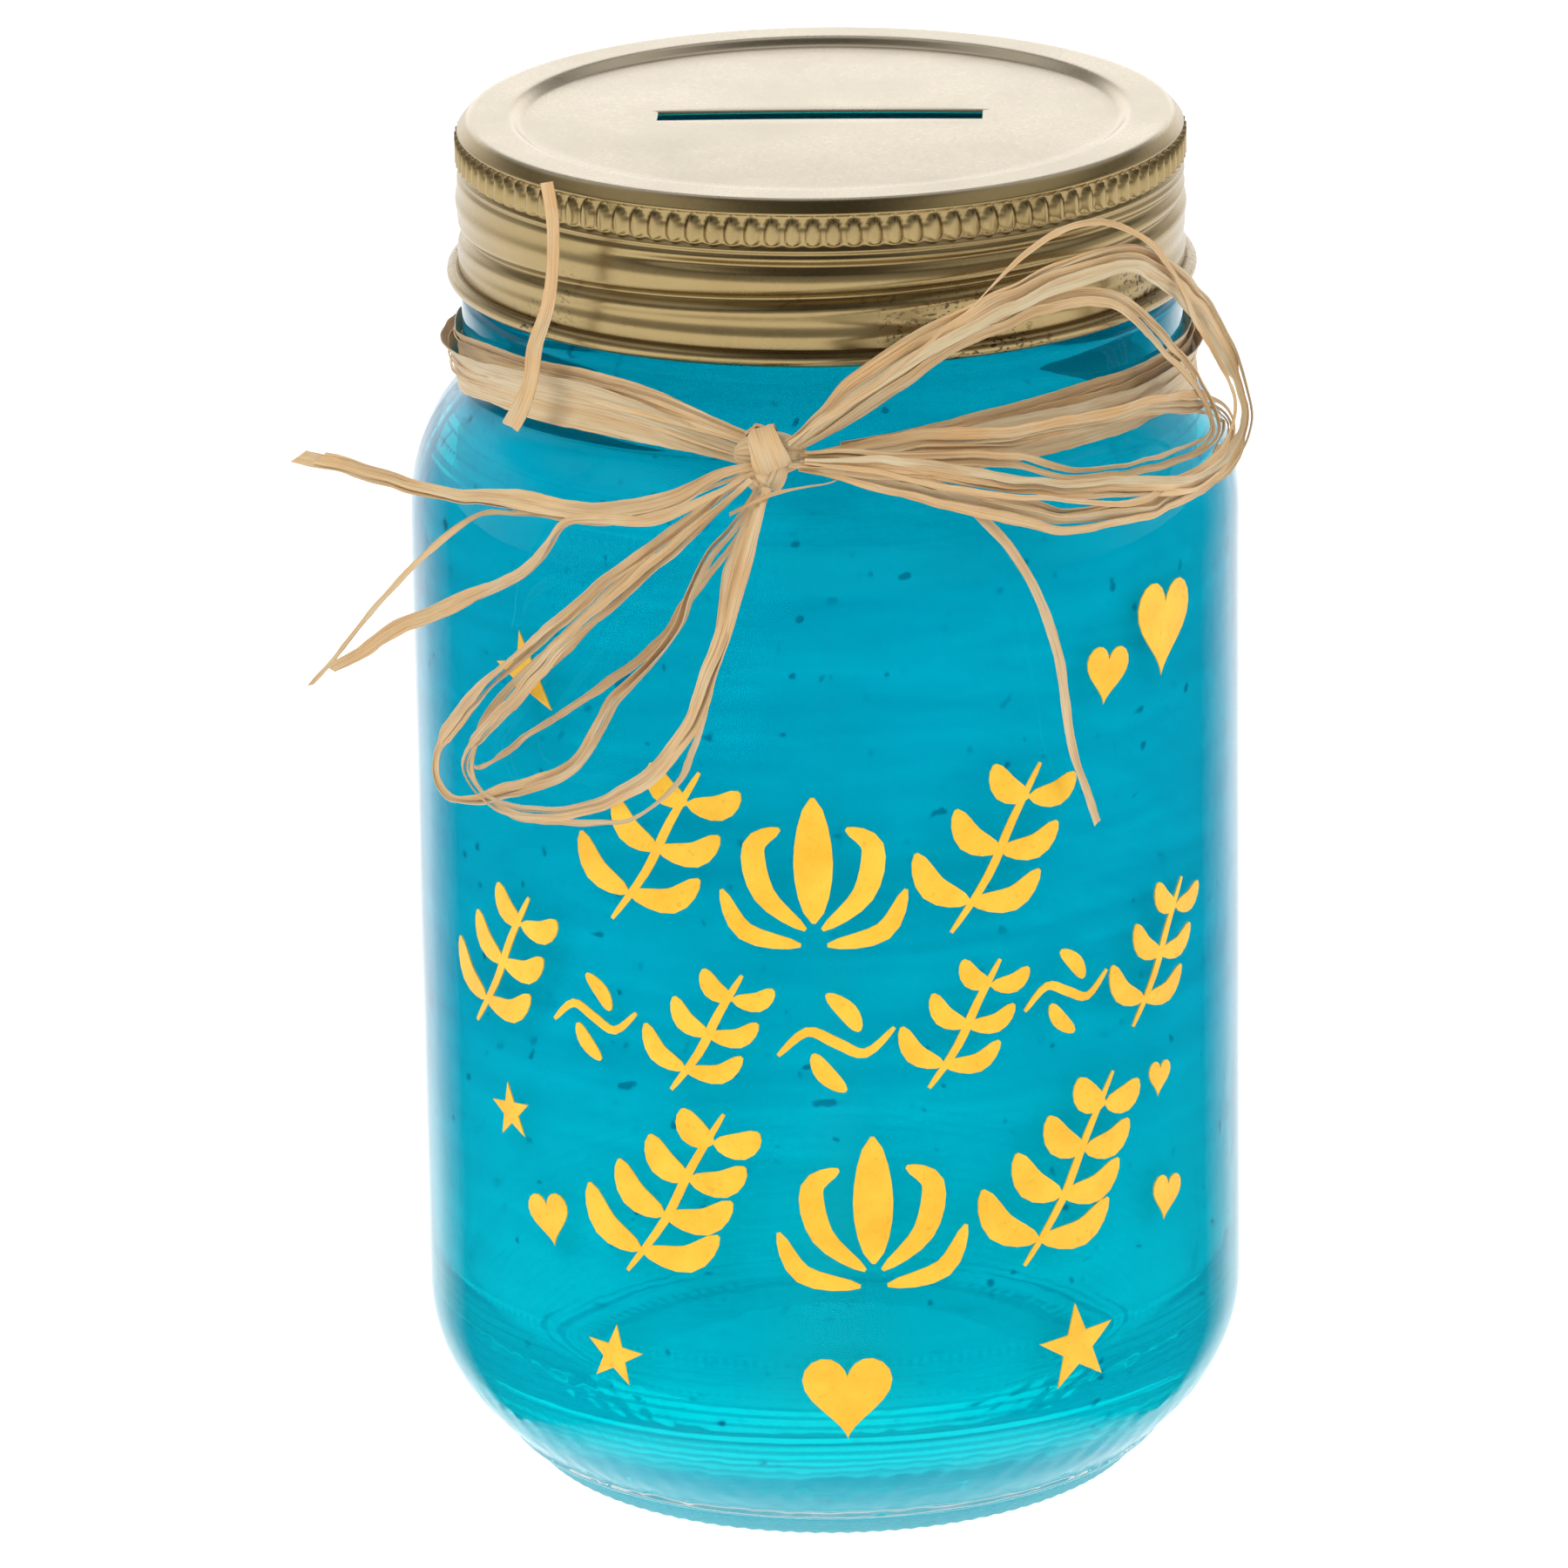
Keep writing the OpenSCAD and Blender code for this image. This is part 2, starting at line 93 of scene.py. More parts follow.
def ease(x, low, high):
    """0 below low, 1 above high, smooth between."""
    t = np.clip((np.asarray(x, float) - low) / (high - low), 0, 1)
    return t * t * (3 - 2 * t)


# ---- helpers: meshes -----------------------------------------------------

def quads(rows, cols, wrap_rows, wrap_cols):
    """Faces of a grid of points, closed along its rows or columns where asked."""
    i, j = np.meshgrid(np.arange(rows if wrap_rows else rows - 1),
                       np.arange(cols if wrap_cols else cols - 1), indexing="ij")
    i2, j2 = (i + 1) % rows, (j + 1) % cols
    return np.stack([i * cols + j, i * cols + j2, i2 * cols + j2, i2 * cols + j],
                    -1).reshape(-1, 4)


def signed_volume(verts, faces):
    """Six times the volume, below zero where the faces point inwards."""
    total = 0.0
    for size in (3, 4):
        f = np.array([f for f in faces if len(f) == size], int).reshape(-1, size)
        for k in range(1, size - 1):
            a, b, c = verts[f[:, 0]], verts[f[:, k]], verts[f[:, k + 1]]
            total += float((np.cross(a, b) * c).sum())
    return total


def mesh_piece(name, verts, faces, body, material, uv=None, sharp=None):
    """An object from points in millimetres, riding on a body."""
    verts = np.asarray(verts, float) * MM
    faces = [tuple(int(v) for v in f) for f in faces]
    if signed_volume(verts, faces) < 0:
        faces = [f[::-1] for f in faces]
    mesh = bpy.data.meshes.new(name)
    mesh.from_pydata(verts.tolist(), [], faces)
    mesh.polygons.foreach_set("use_smooth", [True] * len(mesh.polygons))
    if uv is not None:
        index = np.empty(len(mesh.loops), int)
        mesh.loops.foreach_get("vertex_index", index)
        layer = mesh.uv_layers.new(name="along")
        layer.data.foreach_set("uv", np.asarray(uv, float)[index].ravel())
    mesh.materials.append(material)
    mesh.update()
    if sharp:
        mesh.set_sharp_from_angle(angle=math.radians(sharp))
    obj = bpy.data.objects.new(name, mesh)
    bpy.context.collection.objects.link(obj)
    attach(obj, body)
    return obj


def around(r, z, angle):
    """Points at radius r and height z, at angles from the front towards +X."""
    r, z, angle = np.broadcast_arrays(r, z, angle)
    return np.stack([r * np.sin(angle), -r * np.cos(angle), z], -1)


def poled(grid, first, last):
    """Points and faces of a grid of rings with a point at each end."""
    rows, cols = grid.shape[:2]
    verts = [grid.reshape(-1, 3)]
    faces = [tuple(f) for f in quads(rows, cols, False, True)]
    n = rows * cols
    for pole, row in ((first, 0), (last, rows - 1)):
        verts.append(np.array([pole], float))
        for j in range(cols):
            a, b = row * cols + j, row * cols + (j + 1) % cols
            faces.append((n, b, a) if row == 0 else (n, a, b))
        n += 1
    return np.concatenate(verts), faces


# ---- helpers: outlines in radius and height ------------------------------

def arc(cx, cz, a, b, start, end, steps):
    """Points along an ellipse's arc, from one angle to another in degrees."""
    t = np.radians(np.linspace(start, end, steps + 1))
    return np.stack([cx + a * np.cos(t), cz + b * np.sin(t)], -1)


def spaced(points, gap):
    """The same line with points about gap(z) apart."""
    points = np.asarray(points, float)
    step = np.hypot(*np.diff(points, axis=0).T)
    keep = np.concatenate([[True], step > 1e-6])
    points = points[keep]
    at = np.concatenate([[0], np.cumsum(np.hypot(*np.diff(points, axis=0).T))])
    out, s = [], 0.0
    while s < at[-1]:
        p = [np.interp(s, at, points[:, k]) for k in (0, 1)]
        out.append(p)
        s += gap(*p)
    out.append(points[-1])
    return np.array(out)


def softened(points, passes):
    """A line with its corners rounded off; its ends stay."""
    points = np.array(points, float)
    for _ in range(passes):
        points[1:-1] = 0.25 * points[:-2] + 0.5 * points[1:-1] + 0.25 * points[2:]
    return points


def normals(points):
    """Unit directions to the right of a line in radius and height."""
    t = np.gradient(points, axis=0)
    t /= np.linalg.norm(t, axis=1)[:, None]
    return np.stack([t[:, 1], -t[:, 0]], -1)


# ---- materials -----------------------------------------------------------

def srgb(r, g, b):
    """A colour from its 0 to 255 screen values."""
    def line(v):
        v /= 255
        return v / 12.92 if v <= 0.04045 else ((v + 0.055) / 1.055) ** 2.4
    return (line(r), line(g), line(b), 1.0)


class Nodes:
    """A small hand for building a material's node tree."""

    def __init__(self, name):
        self.material = bpy.data.materials.new(name)
        self.material.use_nodes = True
        self.tree = self.material.node_tree
        self.tree.nodes.clear()

    def add(self, kind, inputs=None, **props):
        node = self.tree.nodes.new("ShaderNode" + kind)
        for key, value in props.items():
            setattr(node, key, value)
        for key, value in (inputs or {}).items():
            self.set(node, key, value)
        return node

    def set(self, node, key, value):
        if isinstance(value, bpy.types.NodeSocket):
            self.tree.links.new(value, node.inputs[key])
        else:
            node.inputs[key].default_value = value

    def math(self, operation, a, b=0.0, clamp=False):
        node = self.add("Math", operation=operation, use_clamp=clamp)
        self.set(node, 0, a)
        self.set(node, 1, b)
        return node.outputs[0]

    def scaled(self, vector, scale):
        node = self.add("VectorMath", {0: vector, 1: scale}, operation="MULTIPLY")
        return node.outputs[0]

    def noise(self, vector, scale, detail=2.0, roughness=0.5):
        node = self.add("TexNoise", {"Vector": vector, "Scale": scale, "Detail": detail,
                                     "Roughness": roughness})
        return node.outputs[0]

    def remap(self, value, from_low, from_high, to_low, to_high):
        node = self.add("MapRange", {0: value, 1: from_low, 2: from_high, 3: to_low, 4: to_high})
        return node.outputs[0]

    def mix(self, factor, a, b, blend="MIX"):
        node = self.add("Mix", data_type="RGBA", blend_type=blend)
        self.set(node, 0, factor)
        self.set(node, 6, a)
        self.set(node, 7, b)
        return node.outputs[2]

    def ramp(self, value, stops):
        node = self.add("ValToRGB", {0: value})
        band = node.color_ramp
        for k, (at, colour) in enumerate(stops):
            stop = band.elements[k] if k < 2 else band.elements.new(at)
            stop.position = at
            stop.color = colour
        return node.outputs[0]

    def bump(self, height, distance, strength=1.0):
        node = self.add("Bump", {"Height": height, "Distance": distance, "Strength": strength})
        return node.outputs[0]

    def finish(self, shader):
        out = self.add("OutputMaterial")
        self.tree.links.new(shader.outputs[0], out.inputs[0])
        return self.material


def glass_material():
    n = Nodes("clear_glass")
    place = n.add("TexCoord").outputs["Object"]
    waves = n.noise(place, 90.0, 3.0, 0.6)
    height = n.add("SeparateXYZ", {0: place}).outputs[2]
    body = n.add("BsdfPrincipled", {
        "Base Color": (0.955, 0.985, 0.985, 1), "IOR": 1.5,
        "Roughness": n.remap(height, 0.0012, 0.0018, 0.5, 0.0),
        "Transmission Weight": 1.0, "Specular Tint": (0.12, 0.12, 0.12, 1),
        "Normal": n.bump(waves, 0.0002, 0.25)})
    through = n.add("BsdfTransparent", {"Color": (0.93, 0.97, 0.97, 1)})
    shadow = n.add("LightPath").outputs["Is Shadow Ray"]
    return n.finish(n.add("MixShader", {0: shadow, 1: body.outputs[0], 2: through.outputs[0]}))


def coat_material():
    n = Nodes("turquoise_coat")
    place = n.add("TexCoord").outputs["Object"]
    strokes = n.noise(n.scaled(place, (45.0, 45.0, 420.0)), 1.0, 4.0, 0.6)
    patches = n.noise(place, 28.0, 3.0, 0.5)
    specks = n.noise(place, 520.0, 1.0, 0.5)
    film_tone = n.mix(n.remap(strokes, 0.35, 0.7, 0.0, 1.0),
                      (0.0, 0.80, 0.87, 1), (0.0, 0.86, 0.92, 1))
    paint_tone = n.mix(n.remap(strokes, 0.35, 0.7, 0.0, 1.0),
                       (0.0, 0.36, 0.52, 1), (0.0, 0.46, 0.62, 1))
    paint_tone = n.mix(n.remap(patches, 0.3, 0.7, 0.0, 0.6), paint_tone, (0.0, 0.42, 0.56, 1))
    # Painted light: towards the bottom the film lets more through and the paint is lighter,
    # standing in for light from the floor coming up through the base.
    low = n.remap(n.add("SeparateXYZ", {0: place}).outputs[2], 0.010, 0.050, 1.0, 0.0)
    film_tone = n.mix(low, film_tone, (0.0, 0.90, 0.92, 1))
    paint_tone = n.mix(low, paint_tone, (0.0, 0.56, 0.68, 1))
    dark = n.remap(specks, 0.72, 0.77, 0.0, 0.7)
    film = n.add("BsdfTransparent", {"Color": n.mix(dark, film_tone, (0.0, 0.5, 0.62, 1))})
    paint = n.add("BsdfPrincipled", {"Base Color": n.mix(dark, paint_tone, (0.0, 0.16, 0.26, 1)),
                                     "Roughness": 0.6, "Specular IOR Level": 0.0})
    return n.finish(n.add("MixShader", {0: 0.25, 1: film.outputs[0], 2: paint.outputs[0]}))


def lid_material():
    n = Nodes("satin_gold_tin")
    place = n.add("TexCoord").outputs["Object"]
    grain = n.noise(place, 2600.0, 2.0, 0.6)
    cloud = n.noise(place, 60.0, 4.0, 0.6)
    smudge = n.noise(n.scaled(place, (160.0, 160.0, 260.0)), 1.0, 5.0, 0.7)
    skirt = n.mix(n.remap(cloud, 0.3, 0.7, 0.0, 1.0),
                  (0.34, 0.243, 0.10, 1), (0.42, 0.31, 0.138, 1))
    height = n.add("SeparateXYZ", {0: place}).outputs[2]
    reach = n.add("VectorMath", {0: n.scaled(place, (1.0, 1.0, 0.0))}, operation="LENGTH")
    # Painted highlight: the top panel gets a much paler gold than the skirt, standing in for the
    # bright light that it mirrors.
    top = n.math("MULTIPLY", n.remap(height, 0.1326, 0.1332, 0.0, 1.0),
                 n.remap(reach.outputs[1], 0.0336, 0.0339, 1.0, 0.0))
    tone_with_lit_top = n.mix(top, skirt, (0.66, 0.56, 0.40, 1))
    marked_tone = n.mix(n.remap(smudge, 0.66, 0.74, 0.0, 0.45), tone_with_lit_top, (0.16, 0.09, 0.04, 1))
    pits = n.noise(n.scaled(place, (1500.0, 1500.0, 2600.0)), 1.0, 2.0, 0.6)
    scuffed = n.math("MULTIPLY", n.remap(n.noise(place, 75.0, 2.0, 0.5), 0.5, 0.62, 0.0, 1.0),
                     n.remap(height, 0.1235, 0.1265, 1.0, 0.0))
    pitted = n.math("MULTIPLY", n.remap(pits, 0.56, 0.62, 0.0, 0.9), scuffed)
    marked_tone = n.mix(pitted, marked_tone, (0.05, 0.03, 0.02, 1))
    rough = n.remap(n.math("ADD", grain, cloud), 0.6, 1.4, 0.24, 0.36)
    shader = n.add("BsdfPrincipled", {
        "Base Color": marked_tone, "Metallic": 1.0, "Roughness": rough,
        "Coat Weight": 0.3, "Coat Roughness": 0.2, "Coat IOR": 1.5,
        "Normal": n.bump(grain, 0.00002, 0.3)})
    return n.finish(shader)


def print_material():
    n = Nodes("gold_print_ink")
    place = n.add("TexCoord").outputs["Object"]
    blot = n.noise(place, 260.0, 4.0, 0.6)
    fine = n.noise(place, 1500.0, 2.0, 0.5)
    tone = n.mix(n.remap(blot, 0.3, 0.7, 0.0, 1.0), srgb(236, 176, 28), srgb(250, 200, 58))
    marked_tone = n.mix(n.remap(fine, 0.62, 0.75, 0.0, 0.35), tone, srgb(205, 140, 20))
    shader = n.add("BsdfPrincipled", {
        "Base Color": marked_tone, "Metallic": 0.25, "Roughness": n.remap(blot, 0.3, 0.7, 0.34, 0.5),
        "Normal": n.bump(n.math("ADD", blot, n.math("MULTIPLY", fine, 0.4)), 0.00005, 0.6)})
    return n.finish(shader)


def raffia_material():
    n = Nodes("dry_raffia")
    uv = n.add("UVMap", uv_map="along").outputs[0]
    split = n.add("SeparateXYZ", {0: uv})
    along, across = split.outputs[0], split.outputs[1]
    ply = n.math("ROUND", n.math("MULTIPLY", across, 0.1))
    pick = n.add("TexWhiteNoise", {"W": ply}, noise_dimensions="1D").outputs[0]

    def strips(run, side, detail):
        at = n.add("CombineXYZ", {0: n.math("MULTIPLY", along, run),
                                  1: n.math("MULTIPLY", across, side), 2: pick})
        return n.noise(at.outputs[0], 1.0, detail, 0.6)

    fibres = strips(0.12, 9.0, 3.0)
    bands = strips(0.03, 1.6, 2.0)
    blotches = strips(0.16, 0.5, 2.0)
    base = n.ramp(pick, [(0.0, srgb(215, 178, 128)), (1.0, srgb(200, 190, 158)),
                         (0.35, srgb(207, 178, 136)), (0.65, srgb(217, 186, 140))])
    tone = n.mix(n.remap(bands, 0.35, 0.7, 0.0, 0.6), base, srgb(196, 152, 98))
    tone = n.mix(n.remap(blotches, 0.45, 0.75, 0.0, 0.5), tone, srgb(212, 202, 170))
    tone = n.mix(n.remap(fibres, 0.3, 0.5, 0.6, 0.0), tone, srgb(150, 106, 64))
    shader = n.add("BsdfPrincipled", {
        "Base Color": tone, "Roughness": n.remap(fibres, 0.3, 0.7, 0.62, 0.42),
        "Specular IOR Level": 0.35, "Sheen Weight": 0.15,
        "Normal": n.bump(fibres, 0.00012, 0.7)})
    return n.finish(shader)


def liner_material():
    n = Nodes("soft_liner")
    place = n.add("TexCoord").outputs["Object"]
    grain = n.noise(place, 1200.0, 3.0, 0.6)
    stain = n.noise(place, 90.0, 3.0, 0.6)
    tone = n.mix(n.remap(stain, 0.35, 0.75, 0.0, 1.0), srgb(236, 226, 204), srgb(214, 198, 168))
    return n.finish(n.add("BsdfPrincipled", {
        "Base Color": tone, "Roughness": n.remap(grain, 0.3, 0.7, 0.5, 0.7),
        "Normal": n.bump(grain, 0.00003, 0.5)}))


# Where the floor turns dark to mirror images: measured from this far out to each side and this
# far in front, the more a place lies this way, in full at this share
DARK_FROM_X = 0.038
DARK_FROM_FRONT = 0.012
DARK_WAY = (1.0, -0.53, 0.0)
DARK_IN_FULL = 0.48


def floor_material():
    """A pale floor, dark at the sides and in front to the mirror images in the clear glass."""
    n = Nodes("pale_floor")
    place = n.add("TexCoord").outputs["Object"]
    grain = n.noise(place, 40.0, 2.0, 0.5)
    tone = n.mix(n.remap(grain, 0.3, 0.7, 0.0, 1.0), (0.36, 0.36, 0.36, 1), (0.38, 0.38, 0.38, 1))
    split = n.add("SeparateXYZ", {0: place}).outputs
    away = n.add("CombineXYZ", {0: n.math("SUBTRACT", n.math("ABSOLUTE", split[0]), DARK_FROM_X),
                                1: n.math("ADD", split[1], DARK_FROM_FRONT)})
    unit = n.add("VectorMath", {0: away.outputs[0]}, operation="NORMALIZE")
    aside = n.add("VectorMath", {0: unit.outputs[0], 1: DARK_WAY},
                  operation="DOT_PRODUCT")
    path = n.add("LightPath").outputs
    mirrored = n.math("MULTIPLY", path["Is Reflection Ray"], path["Is Singular Ray"])
    dim = n.math("MULTIPLY", n.remap(aside.outputs[1], 0.0, DARK_IN_FULL, 0.0, 1.0),
                 mirrored)
    return n.finish(n.add("BsdfPrincipled", {
        "Base Color": n.mix(dim, tone, (0.02, 0.02, 0.02, 1)), "Roughness": 0.8,
        "Specular IOR Level": 0.2, "Emission Color": (1, 1, 1, 1),
        "Emission Strength": n.remap(dim, 0.0, 1.0, 0.95, 0.0)}))


# ---- raffia --------------------------------------------------------------

KNOT = np.array((-5.0, -38.4, 111.6))

# Routes of the strands, in millimetres, as the solids have them
ROUTES = {
    "loop_right_high": [
        (-3.5, -41.5, 113), (4, -41, 118.5), (10.5, -39.5, 122.5), (16.5, -37.5, 125),
        (22.5, -34.5, 127), (28, -30.5, 127), (32.5, -26, 124), (36.5, -19, 117.5),
        (39, -15, 111.5), (39.5, -16, 107.5), (36.5, -24, 105), (31, -33.5, 106),
        (23.5, -38.5, 107.5), (15.5, -41, 109), (7.5, -42.5, 111), (-2, -42, 111.5)],
    "loop_right_mid": [
        (-3.5, -40.5, 112), (5, -39, 117), (13, -36.5, 121.5), (19, -34, 124), (24, -31, 124),
        (29, -27, 121), (33, -22, 116), (36, -17, 110.5), (36, -19, 107), (31, -28.5, 107),
        (23.5, -36, 108.5), (15.5, -39, 110.5), (6.5, -41, 111.5), (-2, -41, 112)],
    "loop_right_thin": [
        (-3.5, -42.5, 113.5), (5, -42, 119), (13, -40.5, 125), (19.5, -37.5, 130.5),
        (25, -33.5, 132), (29.5, -30, 129), (33, -27, 124), (37, -22, 115.5),
        (39, -19.5, 109.5), (36, -26.5, 106), (29, -36, 105.5), (21, -41, 107),
        (13, -43, 108.5), (5.5, -43.5, 110.5), (-2, -42.5, 111.5)],
    "loop_right_low": [
        (-2.5, -41.5, 111), (4, -42.5, 110), (12, -42, 107.5), (22.5, -37.5, 104.5),
        (30.5, -31, 103.5), (36, -21, 103.5), (38, -14.5, 106), (36, -16, 109.5),
        (29.5, -27.5, 112), (20.5, -35, 112.5), (12, -38.5, 112.5), (4, -39.5, 112),
        (-2.5, -40.5, 111.5)],
    "loop_left_outer": [
        (-6.5, -41.5, 110), (-9, -42, 109.5), (-18, -40.5, 102), (-24.5, -38, 95.5),
        (-30.5, -33, 88.5), (-35.5, -27, 81.5), (-37, -23.5, 77), (-36, -25.5, 74.5),
        (-32.5, -29, 75), (-25.5, -35, 79.5), (-20, -38.5, 86.5), (-15.5, -40, 93),
        (-11.5, -41, 100.5), (-8, -41, 105.5), (-6, -41, 109.5)],
    "loop_left_inner": [
        (-7, -41, 109.5), (-9.5, -40.5, 108), (-16.5, -39, 102), (-23.5, -35.5, 94.5),
        (-29.5, -30.5, 87), (-33, -26.5, 80.5), (-33.5, -26, 76), (-30.5, -30, 74),
        (-24.5, -36, 74.5), (-19, -39.5, 76), (-14, -42, 81), (-11.5, -43, 87.5),
        (-10, -43, 94.5), (-9, -42.5, 101), (-7.5, -42, 105.5), (-6, -41.5, 109.5)],
    "loop_left_third": [
        (-6.5, -40.5, 109.5), (-11, -39.5, 105), (-18.5, -37.5, 97.5), (-25.5, -32.5, 90),
        (-31.5, -26.5, 83), (-34, -23.5, 78), (-32.5, -26, 77.5), (-24.5, -33.5, 85.5),
        (-16.5, -38.5, 92.5), (-11.5, -40, 99.5), (-8, -40.5, 105), (-5.5, -40.5, 109)],
    "loop_left_wide": [
        (-7, -42.5, 110), (-13.5, -43.5, 104.5), (-21, -41.5, 97.5), (-27.5, -37.5, 90),
        (-33.5, -31.5, 82), (-34.5, -29.5, 78), (-31, -33.5, 76), (-24.5, -39, 76.5),
        (-17.5, -42.5, 80.5), (-13, -44.5, 86.5), (-10.5, -44.5, 93), (-9, -44, 99.5),
        (-7, -43.5, 105.5), (-5.5, -42, 109)],
    "tail_right": [
        (-3.5, -41.5, 111), (3, -42.5, 110.5), (9, -42.5, 109.5), (14, -41.5, 106),
        (18.5, -39, 99), (21, -37.5, 91.5), (22.5, -36.5, 84), (23.5, -35.5, 78.5),
        (25, -34, 73.5)],
    "tail_thread": [
        (-2, -41.5, 111), (1, -42.5, 110), (-2, -43.5, 109.5), (-5.5, -43, 108.5),
        (-9, -42, 106.5)],
    "tail_left_wide": [
        (-6.5, -41.5, 111), (-9.5, -42, 110.5), (-15, -41.5, 108), (-21, -39.5, 106.5),
        (-26, -36.5, 106), (-33.5, -32, 105.5), (-39, -29, 106), (-45, -26, 107),
        (-49.5, -23, 107.5)],
    "tail_left_thin": [
        (-7, -40.5, 110.5), (-9.5, -40.5, 109), (-16.5, -39, 106), (-24, -35.5, 104.5),
        (-29, -31, 103.5), (-32.5, -29.5, 103), (-35.5, -29, 101), (-39, -28, 97.5),
        (-44.5, -26, 90.5), (-49, -24, 85)],
    "tail_left_low": [
        (-6.5, -41.5, 110.5), (-11, -44, 109), (-16, -44, 107), (-21, -42, 106.5),
        (-24.5, -40, 105.5), (-27, -37.5, 101), (-30, -35, 98), (-35, -31, 94.5),
        (-39.5, -30, 92.5), (-43.5, -28, 89.5), (-47, -27, 87.5)],
    "end_upright": [
        (-25.5, -29, 135), (-25, -29.5, 131.5), (-25, -30, 127.5), (-25.5, -29.5, 123.5),
        (-27, -28.5, 119), (-27.5, -28.5, 115.5), (-28.5, -28.5, 113), (-29.5, -27.5, 111)],
}
# The wrap round the neck: angle from the front, radius and height
WRAP_ROUTE = [
    (2, 38.8, 112.4), (16, 37.8, 112.8), (33, 36.8, 113), (54, 36.4, 112.9), (80, 36.4, 112.5),
    (105, 36.4, 112.2), (130, 36.4, 112), (155, 36.4, 112), (180, 36.4, 112), (205, 36.4, 112),
    (230, 36.4, 112.1), (255, 36.4, 112.6), (278, 36.4, 113.7), (298, 36.4, 115),
    (314, 36.5, 115.8), (328, 36.8, 115.8), (339, 37.5, 114.7), (350, 38.4, 112.8)]
WRAP_STEP = 2.5         # how far the lower wrap lies below this route

# For each strand: plies, width of a ply, spread of the plies to each side, turns of the
# flat side in degrees along the way, loose fibres, and how wide it is along the way
STRANDS = {
    "loop_right_high": (3, 1.15, 0.65, (0, 25, -10, 40, -30, 10, 0), 1,
                        (1, 1.15, 1.1, 0.8, 0.65, 0.65, 0.8)),
    "loop_right_mid": (2, 0.95, 0.4, (10, -20, 30, -40, 20, 0), 1, (1, 1, 0.8, 0.6, 0.65, 0.8)),
    "loop_right_thin": (1, 0.55, 0.0, (0, 60, -30, 50, 0, 80), 0, (1, 1, 1)),
    "loop_right_low": (3, 0.95, 0.75, (-10, 20, -15, 30, 5, -10), 1, (1, 1, 0.9, 0.8, 1, 1.1, 1)),
    "loop_left_outer": (2, 0.85, 0.3, (20, -10, 50, -40, 20, 70, 0), 0,
                        (0.8, 0.8, 0.9, 1.1, 0.8, 0.8, 0.7)),
    "loop_left_inner": (1, 0.85, 0.0, (-15, 20, -40, 30, 60, -10, 10), 0,
                        (0.7, 0.8, 0.9, 1.1, 1, 0.8)),
    "loop_left_third": (1, 0.75, 0.0, (30, -30, 60, 0, 40), 0, (0.7, 0.8, 0.9, 1.1, 1)),
    "loop_left_wide": (2, 0.95, 0.3, (0, 35, -30, 60, 10, -25, 0), 0,
                       (0.75, 0.75, 0.8, 0.9, 0.8, 1, 1.6, 1.4)),
    "tail_right": (1, 1.0, 0.0, (0, 20, -30, 10, 30), 0, (1, 1.1, 1, 0.8)),
    "tail_thread": (1, 0.4, 0.0, (0, 40), 0, (1, 1)),
    "tail_left_wide": (2, 1.4, 0.2, (0, 20, -15, 50, 10, 0), 0, (1, 1.2, 1.4, 1.3, 0.8, 0.9, 0.9)),
    "tail_left_thin": (1, 0.6, 0.0, (0, 50, -20, 40), 0, (1, 1, 0.9)),
    "tail_left_low": (1, 1.25, 0.0, (0, -20, 50, 70, 10, 0), 1, (0.8, 1, 0.7, 0.9, 1.2, 1.2, 0.9)),
    "end_upright": (1, 1.6, 0.0, (0, 10, -15, 20), 0, (0.75, 0.8, 0.85, 0.95, 1.3, 1.6)),
}
FREE_ENDS = ("tail_right", "tail_thread", "tail_left_wide", "tail_left_thin", "tail_left_low")
ACROSS = 8              # points across a flat strip
FOLD_ANGLE = 42         # folds sharper than this show as an edge, in degrees


def through(points, steps):
    """A smooth line through the given points."""
    p = np.asarray(points, float)
    out = []
    for i in range(len(p) - 1):
        a, b, c, d = p[max(i - 1, 0)], p[i], p[i + 1], p[min(i + 2, len(p) - 1)]
        for t in np.arange(steps) / steps:
            out.append(0.5 * (2 * b + (c - a) * t + (2 * a - 5 * b + 4 * c - d) * t * t
                              + (3 * b - a - 3 * c + d) * t ** 3))
    out.append(p[-1])
    return np.array(out)


def even(points, gap):
    """The same line with points about gap apart, and the distance to each."""
    at = np.concatenate([[0], np.cumsum(np.linalg.norm(np.diff(points, axis=0), axis=1))])
    s = np.linspace(0, at[-1], max(int(at[-1] / gap), 4) + 1)
    return np.stack([np.interp(s, at, points[:, k]) for k in range(3)], -1), s


def settled_sides(path, wish):
    """Tangent, normal and side at each point; the normal is carried along and drawn to wish."""
    t = np.gradient(path, axis=0)
    t /= np.linalg.norm(t, axis=1)[:, None]
    n = np.empty_like(t)
    last = wish[0]
    for i in range(len(path)):
        if i:
            last = last + 0.12 * (wish[i] - (wish[i] @ t[i]) * t[i])
        last = last - (last @ t[i]) * t[i]
        last = last / np.linalg.norm(last)
        n[i] = last
    return t, n, np.cross(t, n)


